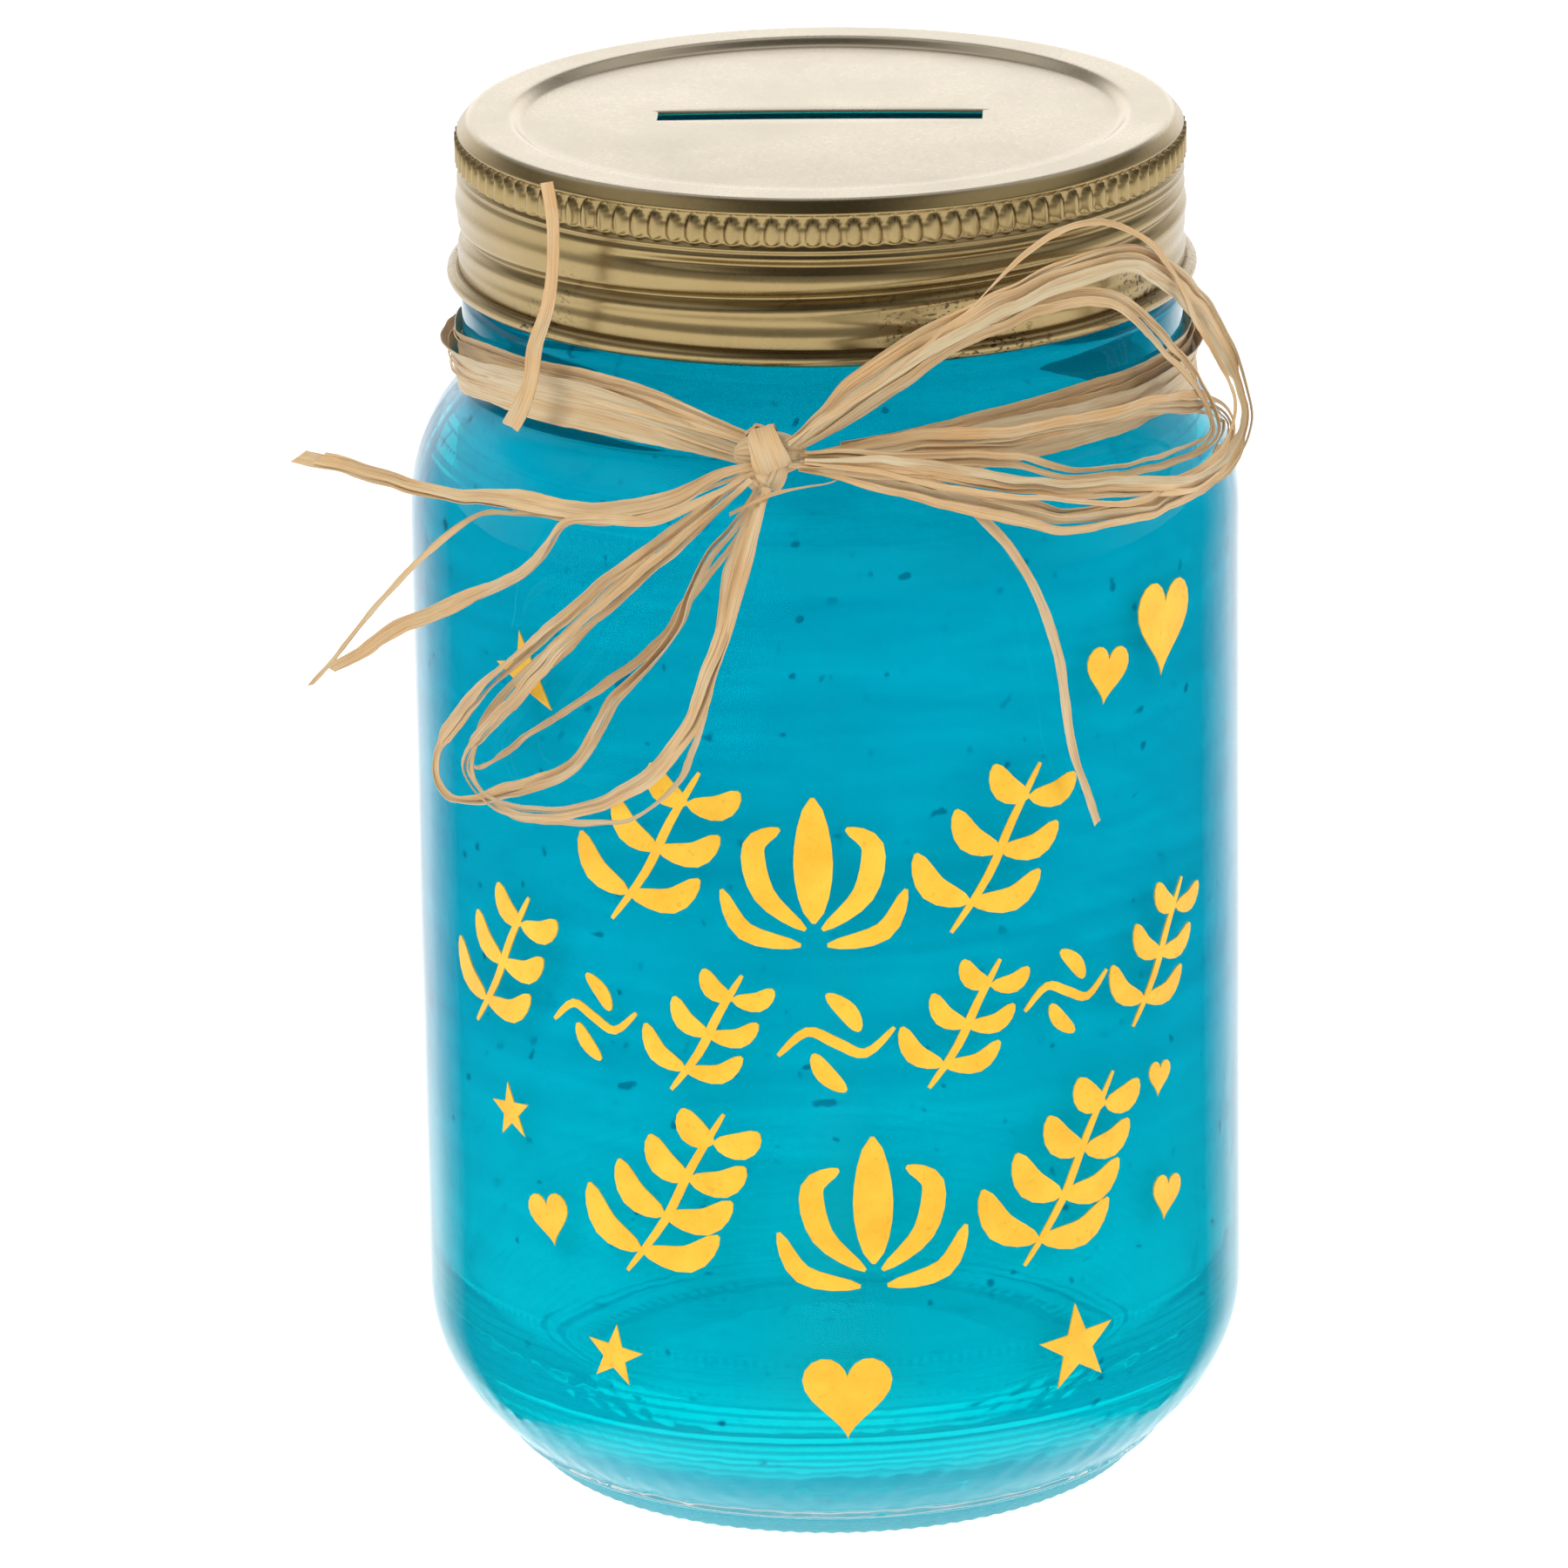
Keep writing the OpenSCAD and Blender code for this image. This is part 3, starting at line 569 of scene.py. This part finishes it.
def ribbon(path, s, wish, width, turn, seed, thick=0.1, curl=0.12, crease=0.07, ply=0,
           slant=0.0):
    """Points, faces and UVs of a closed flat strip that follows a path, cut at a slant."""
    t, n, b = settled_sides(path, wish)
    a = np.radians(turn)[:, None]
    n, b = n * np.cos(a) + b * np.sin(a), b * np.cos(a) - n * np.sin(a)
    side = np.linspace(-1, 1, ACROSS)
    half = width[:, None] / 2 * side[None, :]
    fold = np.array([wander(side * 1.9 + 3.1 * k, seed + k, 2) for k in range(3)])
    sway = np.stack([wander(s / 11 + 5.0 * k, seed + 20 + k, 2) for k in range(3)])
    lift = curl * width[:, None] * (side ** 2 - 0.35)[None, :]
    lift = lift * (0.6 + 0.9 * wander(s / 17, seed + 9))[:, None]
    pleats = np.random.default_rng(seed + 50).uniform(-1, 1, (3, ACROSS)) * 0.6 + fold
    lift = lift + crease * np.minimum(width, 2.4)[:, None] * np.einsum(
        "ki,kj->ij", 0.4 + 0.6 * sway, pleats)
    body = thick / 2 * np.ones(ACROSS)
    cut = slant * half * ease(s, s[-1] - 3, s[-1])[:, None]
    middle = path[:, None] + b[:, None] * half[..., None] + t[:, None] * cut[..., None]
    top = middle + n[:, None] * (lift + body)[..., None]
    low = middle + n[:, None] * (lift - body)[..., None]
    grid = np.concatenate([top, low[:, ::-1]], 1)
    rows, cols = grid.shape[:2]
    faces = [tuple(f) for f in quads(rows, cols, False, True)]
    ends = ((0, False), ((rows - 1) * cols, True))
    for start, flip in ends:
        for j in range(ACROSS - 1):
            f = (start + j, start + j + 1, start + cols - 2 - j, start + cols - 1 - j)
            faces.append(f[::-1] if flip else f)
    across = np.concatenate([half, half[:, ::-1]], 1) + 10.0 * ply
    uv = np.stack([np.broadcast_to(s[:, None], across.shape), across], -1)
    return grid.reshape(-1, 3), faces, uv.reshape(-1, 2)


def joined(parts):
    """Several parts' points, faces and UVs as one."""
    verts, faces, uvs, n = [], [], [], 0
    for v, f, uv in parts:
        flip = signed_volume(v, f) < 0
        faces += [tuple(int(k) + n for k in (q[::-1] if flip else q)) for q in f]
        verts.append(v)
        uvs.append(uv)
        n += len(v)
    return np.concatenate(verts), faces, np.concatenate(uvs)


def outward(path, front=0.5):
    """Directions out from the jar, drawn towards the front."""
    out = path * (1, 1, 0)
    out /= np.linalg.norm(out, axis=1)[:, None]
    out = out * (1 - front) + np.array((0, -1, 0.12)) * front
    return out / np.linalg.norm(out, axis=1)[:, None]


def strand_parts(route, plies, width, spread, turns, fibres, swell, seed, tied=(True, True),
                 front=0.5, rough=1.0, gather=9):
    """The flat plies and loose fibres of one strand, gathered where an end is tied."""
    centre, s = even(through(route, 8), 0.5)
    length = s[-1]
    hold = ease(s, 0, 6) * ease(length - s, 0, 6)
    kink = np.stack([0.45 * wander(s / 9 + 4 * k, seed * 7 + k, 1)
                     + 0.14 * wander(s / 2.6 + 9 * k, seed * 7 + 3 + k, 1) for k in range(3)], -1)
    centre, s = even(centre + kink * hold[:, None] * rough, 0.5)
    length = s[-1]
    part = s / length
    wish = outward(centre, front)
    _, n, b = settled_sides(centre, wish)
    turn = np.interp(part, np.linspace(0, 1, len(turns)), turns)
    tangent = np.gradient(centre, s, axis=0)
    bend = np.linalg.norm(np.gradient(tangent, s, axis=0), axis=1)
    bend = np.convolve(np.pad(bend, 8, mode="edge"), np.ones(17) / 17, mode="valid")
    pinch = 1 - 0.5 * ease(bend, 0.07, 0.2)
    for way, is_tied in ((s, tied[0]), (length - s, tied[1])):
        if is_tied:
            pinch = pinch * (0.38 + 0.62 * ease(way, 0, gather))
    width = width * np.interp(part, np.linspace(0, 1, len(swell)), swell)
    parts = []
    for k in range(plies):
        own = seed * 100 + k * 10
        lane = 0 if plies == 1 else (2 * k / (plies - 1) - 1)
        shift = (lane * spread + 0.55 * spread * wander(s / 13, own)) * pinch
        depth = (0.22 * k + 0.3 * wander(s / 9, own + 1)) * ease(s, 0, 4)
        path = centre + b * shift[:, None] + n * depth[:, None]
        keep = len(s)
        if not tied[1] and k:
            keep = int(len(s) * (1 - 0.05 * k))
        wide = width * pinch * (1 + 0.34 * rough * wander(s / 8, own + 2))
        wide = wide + 0.09 * wander(s / 1.1, own + 3)
        own_turn = turn + 45 * rough * wander(s / 10, own + 4)
        if tied[1]:
            slant = 0
        elif tied[0]:
            slant = 1.6 - 0.9 * (seed % 4)
        else:
            slant = 0.6
        parts.append(ribbon(path[:keep], s[:keep], wish[:keep], wide[:keep], own_turn[:keep],
                            own + 5, ply=seed * 4 + k, slant=slant))
    for k in range(fibres):
        own = seed * 100 + 60 + k * 10
        bow = np.sin(math.pi * part) ** 0.7
        shift = (spread + 0.5 * np.minimum(width, 1.4)) * (1 if k % 2 else -1) * bow
        shift = shift * (0.75 + 0.5 * wander(s / 21, own))
        path = centre + b * shift[:, None] + n * (0.5 * wander(s / 12, own + 1))[:, None]
        wide = 0.3 * (1 + 0.3 * wander(s / 5, own + 2)) * (0.3 + 0.7 * ease(length - s, 0, 5))
        turn_own = 120 * wander(s / 18, own + 3)
        parts.append(ribbon(path, s, wish, wide, turn_own, own + 4, thick=0.12, curl=0.1,
                            crease=0.04, ply=seed * 4 + 2 + k))
    return centre, parts


def make_strands(raffia):
    for seed, (node, spec) in enumerate(STRANDS.items(), start=1):
        plies, width, spread = spec[:3]
        loose = node in FREE_ENDS
        upright = node == "end_upright"
        centre, parts = strand_parts(
            ROUTES[node], *spec, seed, tied=(not upright, not loose and not upright),
            rough=0.4 if upright else 0.7 if loose else 1.0)
        verts, faces, uv = joined(parts)
        piece = mesh_piece("raffia_" + node, verts, faces, "jar", raffia, uv, FOLD_ANGLE)
        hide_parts(node)


def make_wraps(raffia):
    """Two flat turns of raffia that lie tight on the neck away from the knot."""
    turns = (("wrap_upper", 0.6, 1.1, 2, 2.3, 0.4), ("wrap_lower", WRAP_STEP, 0.3, 1, 4.4, 0.6))
    for seed, (node, step, tight, plies, width, spread) in enumerate(turns, start=20):
        route = []
        for a, r, z in WRAP_ROUTE:
            closer = 0.3 + tight * ease(a, 5, 50) * (1 - ease(a, 295, 345))
            route.append(around(r - closer, z - step, math.radians(a)))
        centre, parts = strand_parts(np.array(route), plies, width, spread, (0, 12, 12, 12, 0), 2,
                                     (1, 1, 0.8, 0.8, 1, 1), seed, front=0.0, rough=0.25,
                                     gather=16)
        verts, faces, uv = joined(parts)
        piece = mesh_piece("raffia_" + node, verts, faces, "jar", raffia, uv, FOLD_ANGLE)
        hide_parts(node)


def band(centre, size, tilt, lean, width, seed, ply, start=100, end=440):
    """A flat strip wound round the bundle of strands in the knot."""
    a = np.radians(np.linspace(start, end, 60))
    loop = np.stack([np.zeros_like(a), -size[0] * np.cos(a), size[1] * np.sin(a)], -1)
    lie = (Matrix.Rotation(math.radians(tilt), 3, "Y")
           @ Matrix.Rotation(math.radians(lean), 3, "Z"))
    loop = loop @ np.array(lie).T
    path, s = even(loop + centre, 0.35)
    out = path - centre
    out /= np.linalg.norm(out, axis=1)[:, None]
    wide = width * (0.8 + 0.2 * np.sin(np.linspace(0, math.pi, len(s))))
    wide = wide * (1 + 0.12 * wander(s / 3, seed))
    turn = 6 * wander(s / 4, seed + 1)
    return ribbon(path, s, out, wide, turn, seed + 2, thick=0.3, curl=-0.1, crease=0.13, ply=ply)


def core(centre, size, seed, ply):
    """The gathered heart of the knot, pleated along X."""
    rows, cols = 30, 64
    u = np.linspace(0.02, 0.98, rows) * math.pi
    v = np.linspace(0, 2 * math.pi, cols, endpoint=False)
    u, v = np.meshgrid(u, v, indexing="ij")
    pleat = 1 + 0.07 * np.sin(11 * v + 1.3 * np.cos(u)) + 0.05 * np.sin(19 * v + seed)
    grid = np.stack([-size[0] * np.cos(u), size[1] * np.sin(u) * np.cos(v) * pleat,
                     size[2] * np.sin(u) * np.sin(v) * pleat], -1) + centre
    ends = [centre + (-size[0], 0, 0), centre + (size[0], 0, 0)]
    verts, faces = poled(grid, *ends)
    out = verts - centre
    uv = np.stack([out[:, 0], np.arctan2(*out[:, 1:].T) * 2 + 10 * ply], -1)
    return verts, faces, uv


def make_knot(raffia):
    parts = [
        core(KNOT + (-0.2, -1.2, 0.0), (3.4, 1.7, 1.9), 3, 90),
        band(KNOT + (-0.5, -1.5, 0.5), (2.3, 2.1), -18, 4, 3.6, 300, 91),
        band(KNOT + (-1.1, -1.0, -1.6), (2.1, 1.6), -40, -10, 2.4, 320, 92),
        band(KNOT + (0.1, -1.1, -1.3), (2.0, 1.9), 20, 8, 2.0, 340, 93),
    ]
    verts, faces, uv = joined(parts)
    knot = mesh_piece("raffia_knot_tied", verts, faces, "jar", raffia, uv, FOLD_ANGLE)
    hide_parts("raffia_knot")


# ---- glass and coat ------------------------------------------------------

GLASS_SEGMENTS = 480
COAT_SEGMENTS = 240
COAT_SHELL = 0.16       # how far the glass stops short of the solids' inside, for the coat
THREAD_FRONT_Z = 126.65 # height of the glass thread at the front
THREAD_PITCH = 6.35
THREAD_START = -300     # where the thread begins, in degrees from the front
THREAD_TURNS = 1.35


def outer_outline():
    line = np.concatenate([
        [(0.3, 1.6), (18, 1.6), (25.5, 0.9), (27, 0), (29.6, 0), (30.4, 0.4), (31, 1.3),
         (31.1, 2.5), (32.9, 2.7)],
        arc(19.8, 16.7, 20.2, 17.3, -48, 0, 30), arc(30.14, 94.9, 9.86, 15, 0, 62.9, 30),
        [(34.6, 109.5), (34.6, 117.1), (34.1, 117.6), (32.8, 118.2), (32.8, 132), (32.5, 132.6),
         (31.9, 132.9), (30.2, 132.9)]])
    return softened(spaced(line, lambda r, z: 0.3 if z < 4 or z > 108 else 0.9), 2)


def inner_outline():
    return np.concatenate([
        [(0.3, 8.3), (12, 8.1)], arc(22, 22, 15, 14.5, -90, 0, 30),
        arc(30, 94.3, 7, 13, 0, 62, 30), [(31, 109.5), (29.6, 117.6), (29.6, 132.3)]])


def inner_grid(depth, gap, angle, top=None):
    """The slightly uneven inside of the jar, a little further in, in rings from the bottom."""
    line = softened(spaced(inner_outline(), lambda r, z: gap), 2)
    line = line - normals(line) * depth
    if top is not None:
        line = line[line[:, 1] < top]
    r, z = line[:, :1], line[:, 1:]
    uneven = 0.10 * ripple(angle, z, 13, 5, 0.03) * ease(r, 3, 14) * (1 - ease(z, 100, 108))
    upright = ease(z, 12, 22)
    return around(r + uneven * upright, z + uneven * (1 - upright), angle)


def thread_ridge(angle, z):
    """How far the glass thread stands out from the neck."""
    degrees = np.degrees(angle)
    best = np.zeros(np.broadcast(angle, z).shape)
    for turn in range(-2, 3):
        a = degrees + 360 * turn
        run = (a - THREAD_START) / (360 * THREAD_TURNS)
        off = np.abs(z - (THREAD_FRONT_Z + THREAD_PITCH * a / 360))
        fade = ease(run, 0, 0.08) * ease(1 - run, 0, 0.08)
        best = np.maximum(best, 1.2 * (1 - ease(off, 0.35, 1.3)) * fade)
    return best


def make_glass(material):
    angle = np.linspace(0, 2 * math.pi, GLASS_SEGMENTS, endpoint=False)[None, :]
    line = outer_outline()
    r, z = line[:, :1], line[:, 1:]
    neck = ease(z, 118.2, 118.6) * ease(132.6 - z, 0, 0.5)
    body = ease(z, 5, 12) * ease(117 - z, 0, 4)
    wave = 0.035 * ripple(angle, z, 5, 6, 0.04) * body
    seam = 0.05 * np.exp(-((np.abs(np.sin(angle)) - 1) / 0.00035) ** 2) * ease(z, 3, 5) * body
    heel = 0.05 * ripple(angle, z, 8, 90, 0.5, 20) * ease(z, 2.6, 4) * (1 - ease(z, 8, 13))
    out = r + neck * thread_ridge(angle, z) + wave + seam + heel
    under = ease(r, 26.4, 27.2) * (1 - ease(r, 30.0, 30.9)) * (1 - ease(z, 0.3, 1.0))
    ridges = 0.12 * under * (0.5 + 0.5 * np.cos(120 * angle))
    outer = around(out, z + ridges, angle)
    inner = inner_grid(COAT_SHELL, 0.9, angle)[::-1]
    grid = np.concatenate([outer, inner])
    verts, faces = poled(grid, (0, 0, 1.6), (0, 0, float(inner[-1, 0, 2])))
    piece = mesh_piece("jar_of_clear_glass", verts, faces, "jar", material)
    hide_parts("glass_jar")


def make_coat(material):
    angle = np.linspace(0, 2 * math.pi, COAT_SEGMENTS, endpoint=False)[None, :]
    rings = [inner_grid(depth, 1.2, angle, 131) for depth in (0.02, 0.135)]
    grid = np.concatenate([rings[0], rings[1][::-1]])
    bottom = [float(ring[0, 0, 2]) for ring in rings]
    verts, faces = poled(grid, (0, 0, bottom[0]), (0, 0, bottom[1]))
    piece = mesh_piece("turquoise_inside_coat", verts, faces, "jar", material)
    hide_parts("paint_coat")


# ---- lid -----------------------------------------------------------------

FLUTES = 114
FLUTE_STEPS = 8
SHEET_HALF = 0.18       # half the thickness of the metal
LID_TOP = 134.2
PANEL_Z = 133.45
PANEL_CROWN = 0.35      # how much higher the panel is at its middle than at its edge
# Rows of points from the slot's edge (0) to the panel's edge (1), and how far the sheet's two
# faces draw together there
PANEL_ROWS = ((0, -0.10), (0.003, -0.03), (0.012, 0), (0.08, 0), (0.2, 0), (0.35, 0), (0.5, 0),
              (0.65, 0), (0.8, 0), (0.92, 0))
SKIRT_R = 34.8
SLOT_HALF = (15.5, 1.6)
SLOT_TURN = math.radians(-2)
BEAD_FRONT_Z = 124.9    # height of the lid's thread at the front


def slot_edge(angle):
    """Points of the slot's edge, one for each angle round the lid."""
    around_x = angle - math.pi / 2 - SLOT_TURN
    c, s = np.cos(around_x), np.sin(around_x)
    q = np.arctan2(np.abs(s), np.abs(c))
    corner = math.radians(18)
    x = np.where(q < corner, 1.0, (math.pi / 2 - q) / (math.pi / 2 - corner))
    y = np.where(q < corner, q / corner, 1.0)
    x, y = SLOT_HALF[0] * x * np.sign(c), SLOT_HALF[1] * y * np.sign(s)
    cos, sin = math.cos(SLOT_TURN), math.sin(SLOT_TURN)
    return x * cos - y * sin, x * sin + y * cos


def lid_line():
    """The middle of the lid's sheet from the panel's edge to the rolled edge's tip."""
    top = np.concatenate([
        [(28.3, PANEL_Z), (28.6, PANEL_Z + 0.04), (29.1, PANEL_Z + 0.36), (29.5, LID_TOP - 0.05),
         (29.9, LID_TOP), (31.6, LID_TOP)],
        arc(SKIRT_R - 1.3, LID_TOP - 0.4, 0.4, 0.4, 90, 38, 6),
        [(SKIRT_R - 0.1, LID_TOP - 1.15), (SKIRT_R, LID_TOP - 1.4), (SKIRT_R, 119.95)]])
    top = softened(spaced(top, lambda r, z: 0.12), 2)
    top = top + normals(top) * SHEET_HALF
    curl = arc(SKIRT_R - SHEET_HALF + 0.56, 119.3, 0.56, 0.56, 180, 500, 36)
    line = np.concatenate([top, curl])
    return spaced(line, lambda r, z: 0.16 if z < 133.2 else 0.25)


def flutes(angle, z):
    """Grip ribs like drops, pointed above and round below, proud of a sunk band."""
    x = (angle / (2 * math.pi) * FLUTES) % 1 - 0.5
    rise = np.clip((z - 130.9) / 1.75, 0, 1)
    drop = np.clip((130.7 - z) / 0.8, 0, 1)
    half = 0.46 * (1 - rise ** 1.8) ** 0.85 * np.sqrt(1 - drop ** 2) + 1e-3
    rib = np.clip(1 - (x / half) ** 2, 0, 1) * (half > 0.03)
    return 0.57 * rib - 0.42 * ease(z, 129.4, 129.9) * ease(132.9 - z, 0, 0.2)


def beads(angle, z):
    """The rings and the thread rolled into the skirt."""
    degrees = (np.degrees(angle) + 180) % 360 - 180
    ring = ease(degrees, -42, -18) * ease(178 - degrees, 0, 30)
    shape = -0.5 * np.exp(-((z - 127.95) / 0.42) ** 2) * ring
    shape = shape - 0.28 * np.exp(-((z - 129.1) / 0.28) ** 2)
    shape = shape + 0.2 * np.exp(-((z - 126.4) / 0.75) ** 2)
    for turn in (-1, 0, 1):
        a = degrees + 360 * turn
        run = (a + 200) / 360
        off = z - (BEAD_FRONT_Z + THREAD_PITCH * a / 360)
        fade = ease(run, 0, 0.1) * ease(1 - run, 0, 0.1)
        shape = shape - 0.72 * np.exp(-(off / 0.52) ** 2) * fade
        shape = shape + 0.12 * np.exp(-((off + 1.25) / 0.5) ** 2) * fade
    shape = shape - 0.16 * np.exp(-((z - 122.35) / 0.7) ** 2)
    shape = shape + 0.05 * np.exp(-((z - 121.2) / 0.4) ** 2)
    return shape * ease(z, 120.0, 120.6) * (1 - ease(z, 129.2, 129.7))


def make_lid(material):
    angle = np.linspace(0, 2 * math.pi, FLUTES * FLUTE_STEPS, endpoint=False)[None, :]
    line = lid_line()
    side = normals(line)
    r0, z0 = line[:, :1], line[:, 1:]
    on_skirt = ease(r0, SKIRT_R - 0.5, SKIRT_R - 0.3) * (z0 > 120)
    push = on_skirt * (flutes(angle, z0) + beads(angle, z0))
    push = push + 0.02 * ripple(angle, z0, 31, 5, 0.05) * on_skirt
    sx, sy = slot_edge(angle[0])
    shells = []
    for sign in (1, -1):
        rows = []
        half = sign * SHEET_HALF
        start = around(r0[0] - side[0, 0] * half, z0[0], angle[0])
        level = z0[0, 0] + half
        for t, drop in PANEL_ROWS:
            x = sx + (start[:, 0] - sx) * t
            y = sy + (start[:, 1] - sy) * t
            crown = PANEL_CROWN * (1 - (x * x + y * y) / line[0, 0] ** 2)
            rows.append(np.stack([x, y, level + sign * drop + crown], -1))
        grid = around(r0 - side[:, :1] * half + push, z0 - side[:, 1:] * half, angle)
        shells.append(np.concatenate([np.array(rows), grid]))
    grid = np.concatenate([shells[0], shells[1][::-1]])
    rows, cols = grid.shape[:2]
    piece = mesh_piece("gold_slotted_lid", grid.reshape(-1, 3), quads(rows, cols, True, True),
                       "lid", material)
    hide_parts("lid")


def make_liner(material):
    angle = np.linspace(0, 2 * math.pi, 240, endpoint=False)[None, :]
    line = spaced([(30.3, 133.5), (30.3, 133.15), (30.45, 133.05), (32.6, 133.05), (33.0, 133.25),
                   (33.1, 133.45), (33.1, 133.7), (33.0, 133.78), (30.4, 133.78),
                   (30.3, 133.7), (30.3, 133.5)], lambda r, z: 0.12)[:-1]
    r, z = line[:, :1], line[:, 1:]
    press = 0.10 * np.exp(-((r - 31.3) / 0.5) ** 2) * (z < 133.3)
    grid = around(r, z + press + 0.012 * ripple(angle, r * 4, 41, 12, 0.1), angle)
    rows, cols = grid.shape[:2]
    piece = mesh_piece("soft_sealing_ring", grid.reshape(-1, 3), quads(rows, cols, True, True),
                       "liner", material)
    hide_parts("sealing_liner")


def dress_prints(material):
    for node in ("star_prints", "heart_prints", "flourish_top", "flourish_middle",
                 "flourish_bottom"):
        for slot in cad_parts[node].material_slots:
            slot.link = "OBJECT"
            slot.material = material


# ---- floor and light -----------------------------------------------------

def make_floor():
    mesh = bpy.data.meshes.new("studio_floor")
    size = 3.0
    mesh.from_pydata([(-size, -size, 0), (size, -size, 0), (size, size, 0), (-size, size, 0)],
                     [], [(0, 1, 2, 3)])
    mesh.materials.append(floor_material())
    floor = bpy.data.objects.new("studio_floor", mesh)
    bpy.context.collection.objects.link(floor)


def soft_light(name, at, size, watts, target=(0, 0, 0.07)):
    data = bpy.data.lights.new(name, "AREA")
    data.size = size
    data.energy = watts
    lamp = bpy.data.objects.new(name, data)
    bpy.context.collection.objects.link(lamp)
    lamp.location = at
    lamp.visible_glossy = False
    lamp.visible_transmission = False
    lamp.rotation_euler = (Vector(at) - Vector(target)).to_track_quat("Z", "Y").to_euler()


def make_world():
    """Even white to the camera and through the glass, and a soft studio dome for all else.

    The dome is brightest low down at the front and sides. To reflections its top is dark in the
    middle, except towards the back.
    """
    world = bpy.data.worlds.new("studio")
    bpy.context.scene.world = world
    world.use_nodes = True
    tree = world.node_tree
    tree.nodes.clear()

    def add(kind, **props):
        node = tree.nodes.new("ShaderNode" + kind)
        for key, value in props.items():
            setattr(node, key, value)
        return node

    def remap(value, low, high, to_low, to_high):
        node = add("MapRange", interpolation_type="SMOOTHSTEP")
        tree.links.new(value, node.inputs[0])
        for k, v in enumerate((low, high, to_low, to_high), start=1):
            node.inputs[k].default_value = v
        return node.outputs[0]

    way = add("SeparateXYZ")
    tree.links.new(add("TexCoord").outputs["Generated"], way.inputs[0])
    aside = add("Math", operation="ABSOLUTE")
    tree.links.new(way.outputs[0], aside.inputs[0])
    low_band = remap(way.outputs[1], -0.35, 0.35, 0.36, 0.0)
    tree.links.new(remap(aside.outputs[0], 0.4, 0.7, 1.85, 0.8), low_band.node.inputs[4])
    high = remap(way.outputs[2], 0.34, 0.48, 0.0, 1.0)
    path = add("LightPath")
    lit = add("Math", operation="MAXIMUM")
    tree.links.new(remap(aside.outputs[0], 0.25, 0.5, 0.1, 1.0), lit.inputs[0])
    tree.links.new(remap(way.outputs[1], 0.25, 0.5, 0.1, 1.0), lit.inputs[1])
    overhead = remap(way.outputs[2], 0.5, 0.75, 0.06, 0.8)
    dimmed = add("Math", operation="MULTIPLY")
    tree.links.new(overhead, dimmed.inputs[0])
    tree.links.new(lit.outputs[0], dimmed.inputs[1])
    above = add("Mix")
    tree.links.new(path.outputs["Is Glossy Ray"], above.inputs[0])
    tree.links.new(overhead, above.inputs[2])
    tree.links.new(dimmed.outputs[0], above.inputs[3])
    level = add("Mix")
    tree.links.new(high, level.inputs[0])
    tree.links.new(low_band, level.inputs[2])
    tree.links.new(above.outputs[0], level.inputs[3])
    through = add("Mix")
    tree.links.new(path.outputs["Is Transmission Ray"], through.inputs[0])
    tree.links.new(level.outputs[0], through.inputs[2])
    through.inputs[3].default_value = 0.95
    seen = add("Mix")
    tree.links.new(path.outputs["Is Camera Ray"], seen.inputs[0])
    tree.links.new(through.outputs[0], seen.inputs[2])
    seen.inputs[3].default_value = 1.0
    back = add("Background")
    tree.links.new(seen.outputs[0], back.inputs[1])
    tree.links.new(back.outputs[0], add("OutputWorld").inputs[0])


make_camera()
straw = raffia_material()
make_strands(straw)
make_wraps(straw)
make_knot(straw)
make_glass(glass_material())
make_coat(coat_material())
make_lid(lid_material())
make_liner(liner_material())
dress_prints(print_material())
make_floor()
make_world()
soft_light("key_left", (-0.7, -0.6, 0.9), 0.7, 9)
soft_light("fill_right", (0.9, -0.5, 0.6), 0.7, 5)
bpy.context.scene.view_settings.view_transform = "Standard"
bpy.context.scene.cycles.transparent_max_bounces = 32
bpy.context.scene.cycles.max_bounces = 24
bpy.context.scene.cycles.transmission_bounces = 24
bpy.context.scene.cycles.glossy_bounces = 12
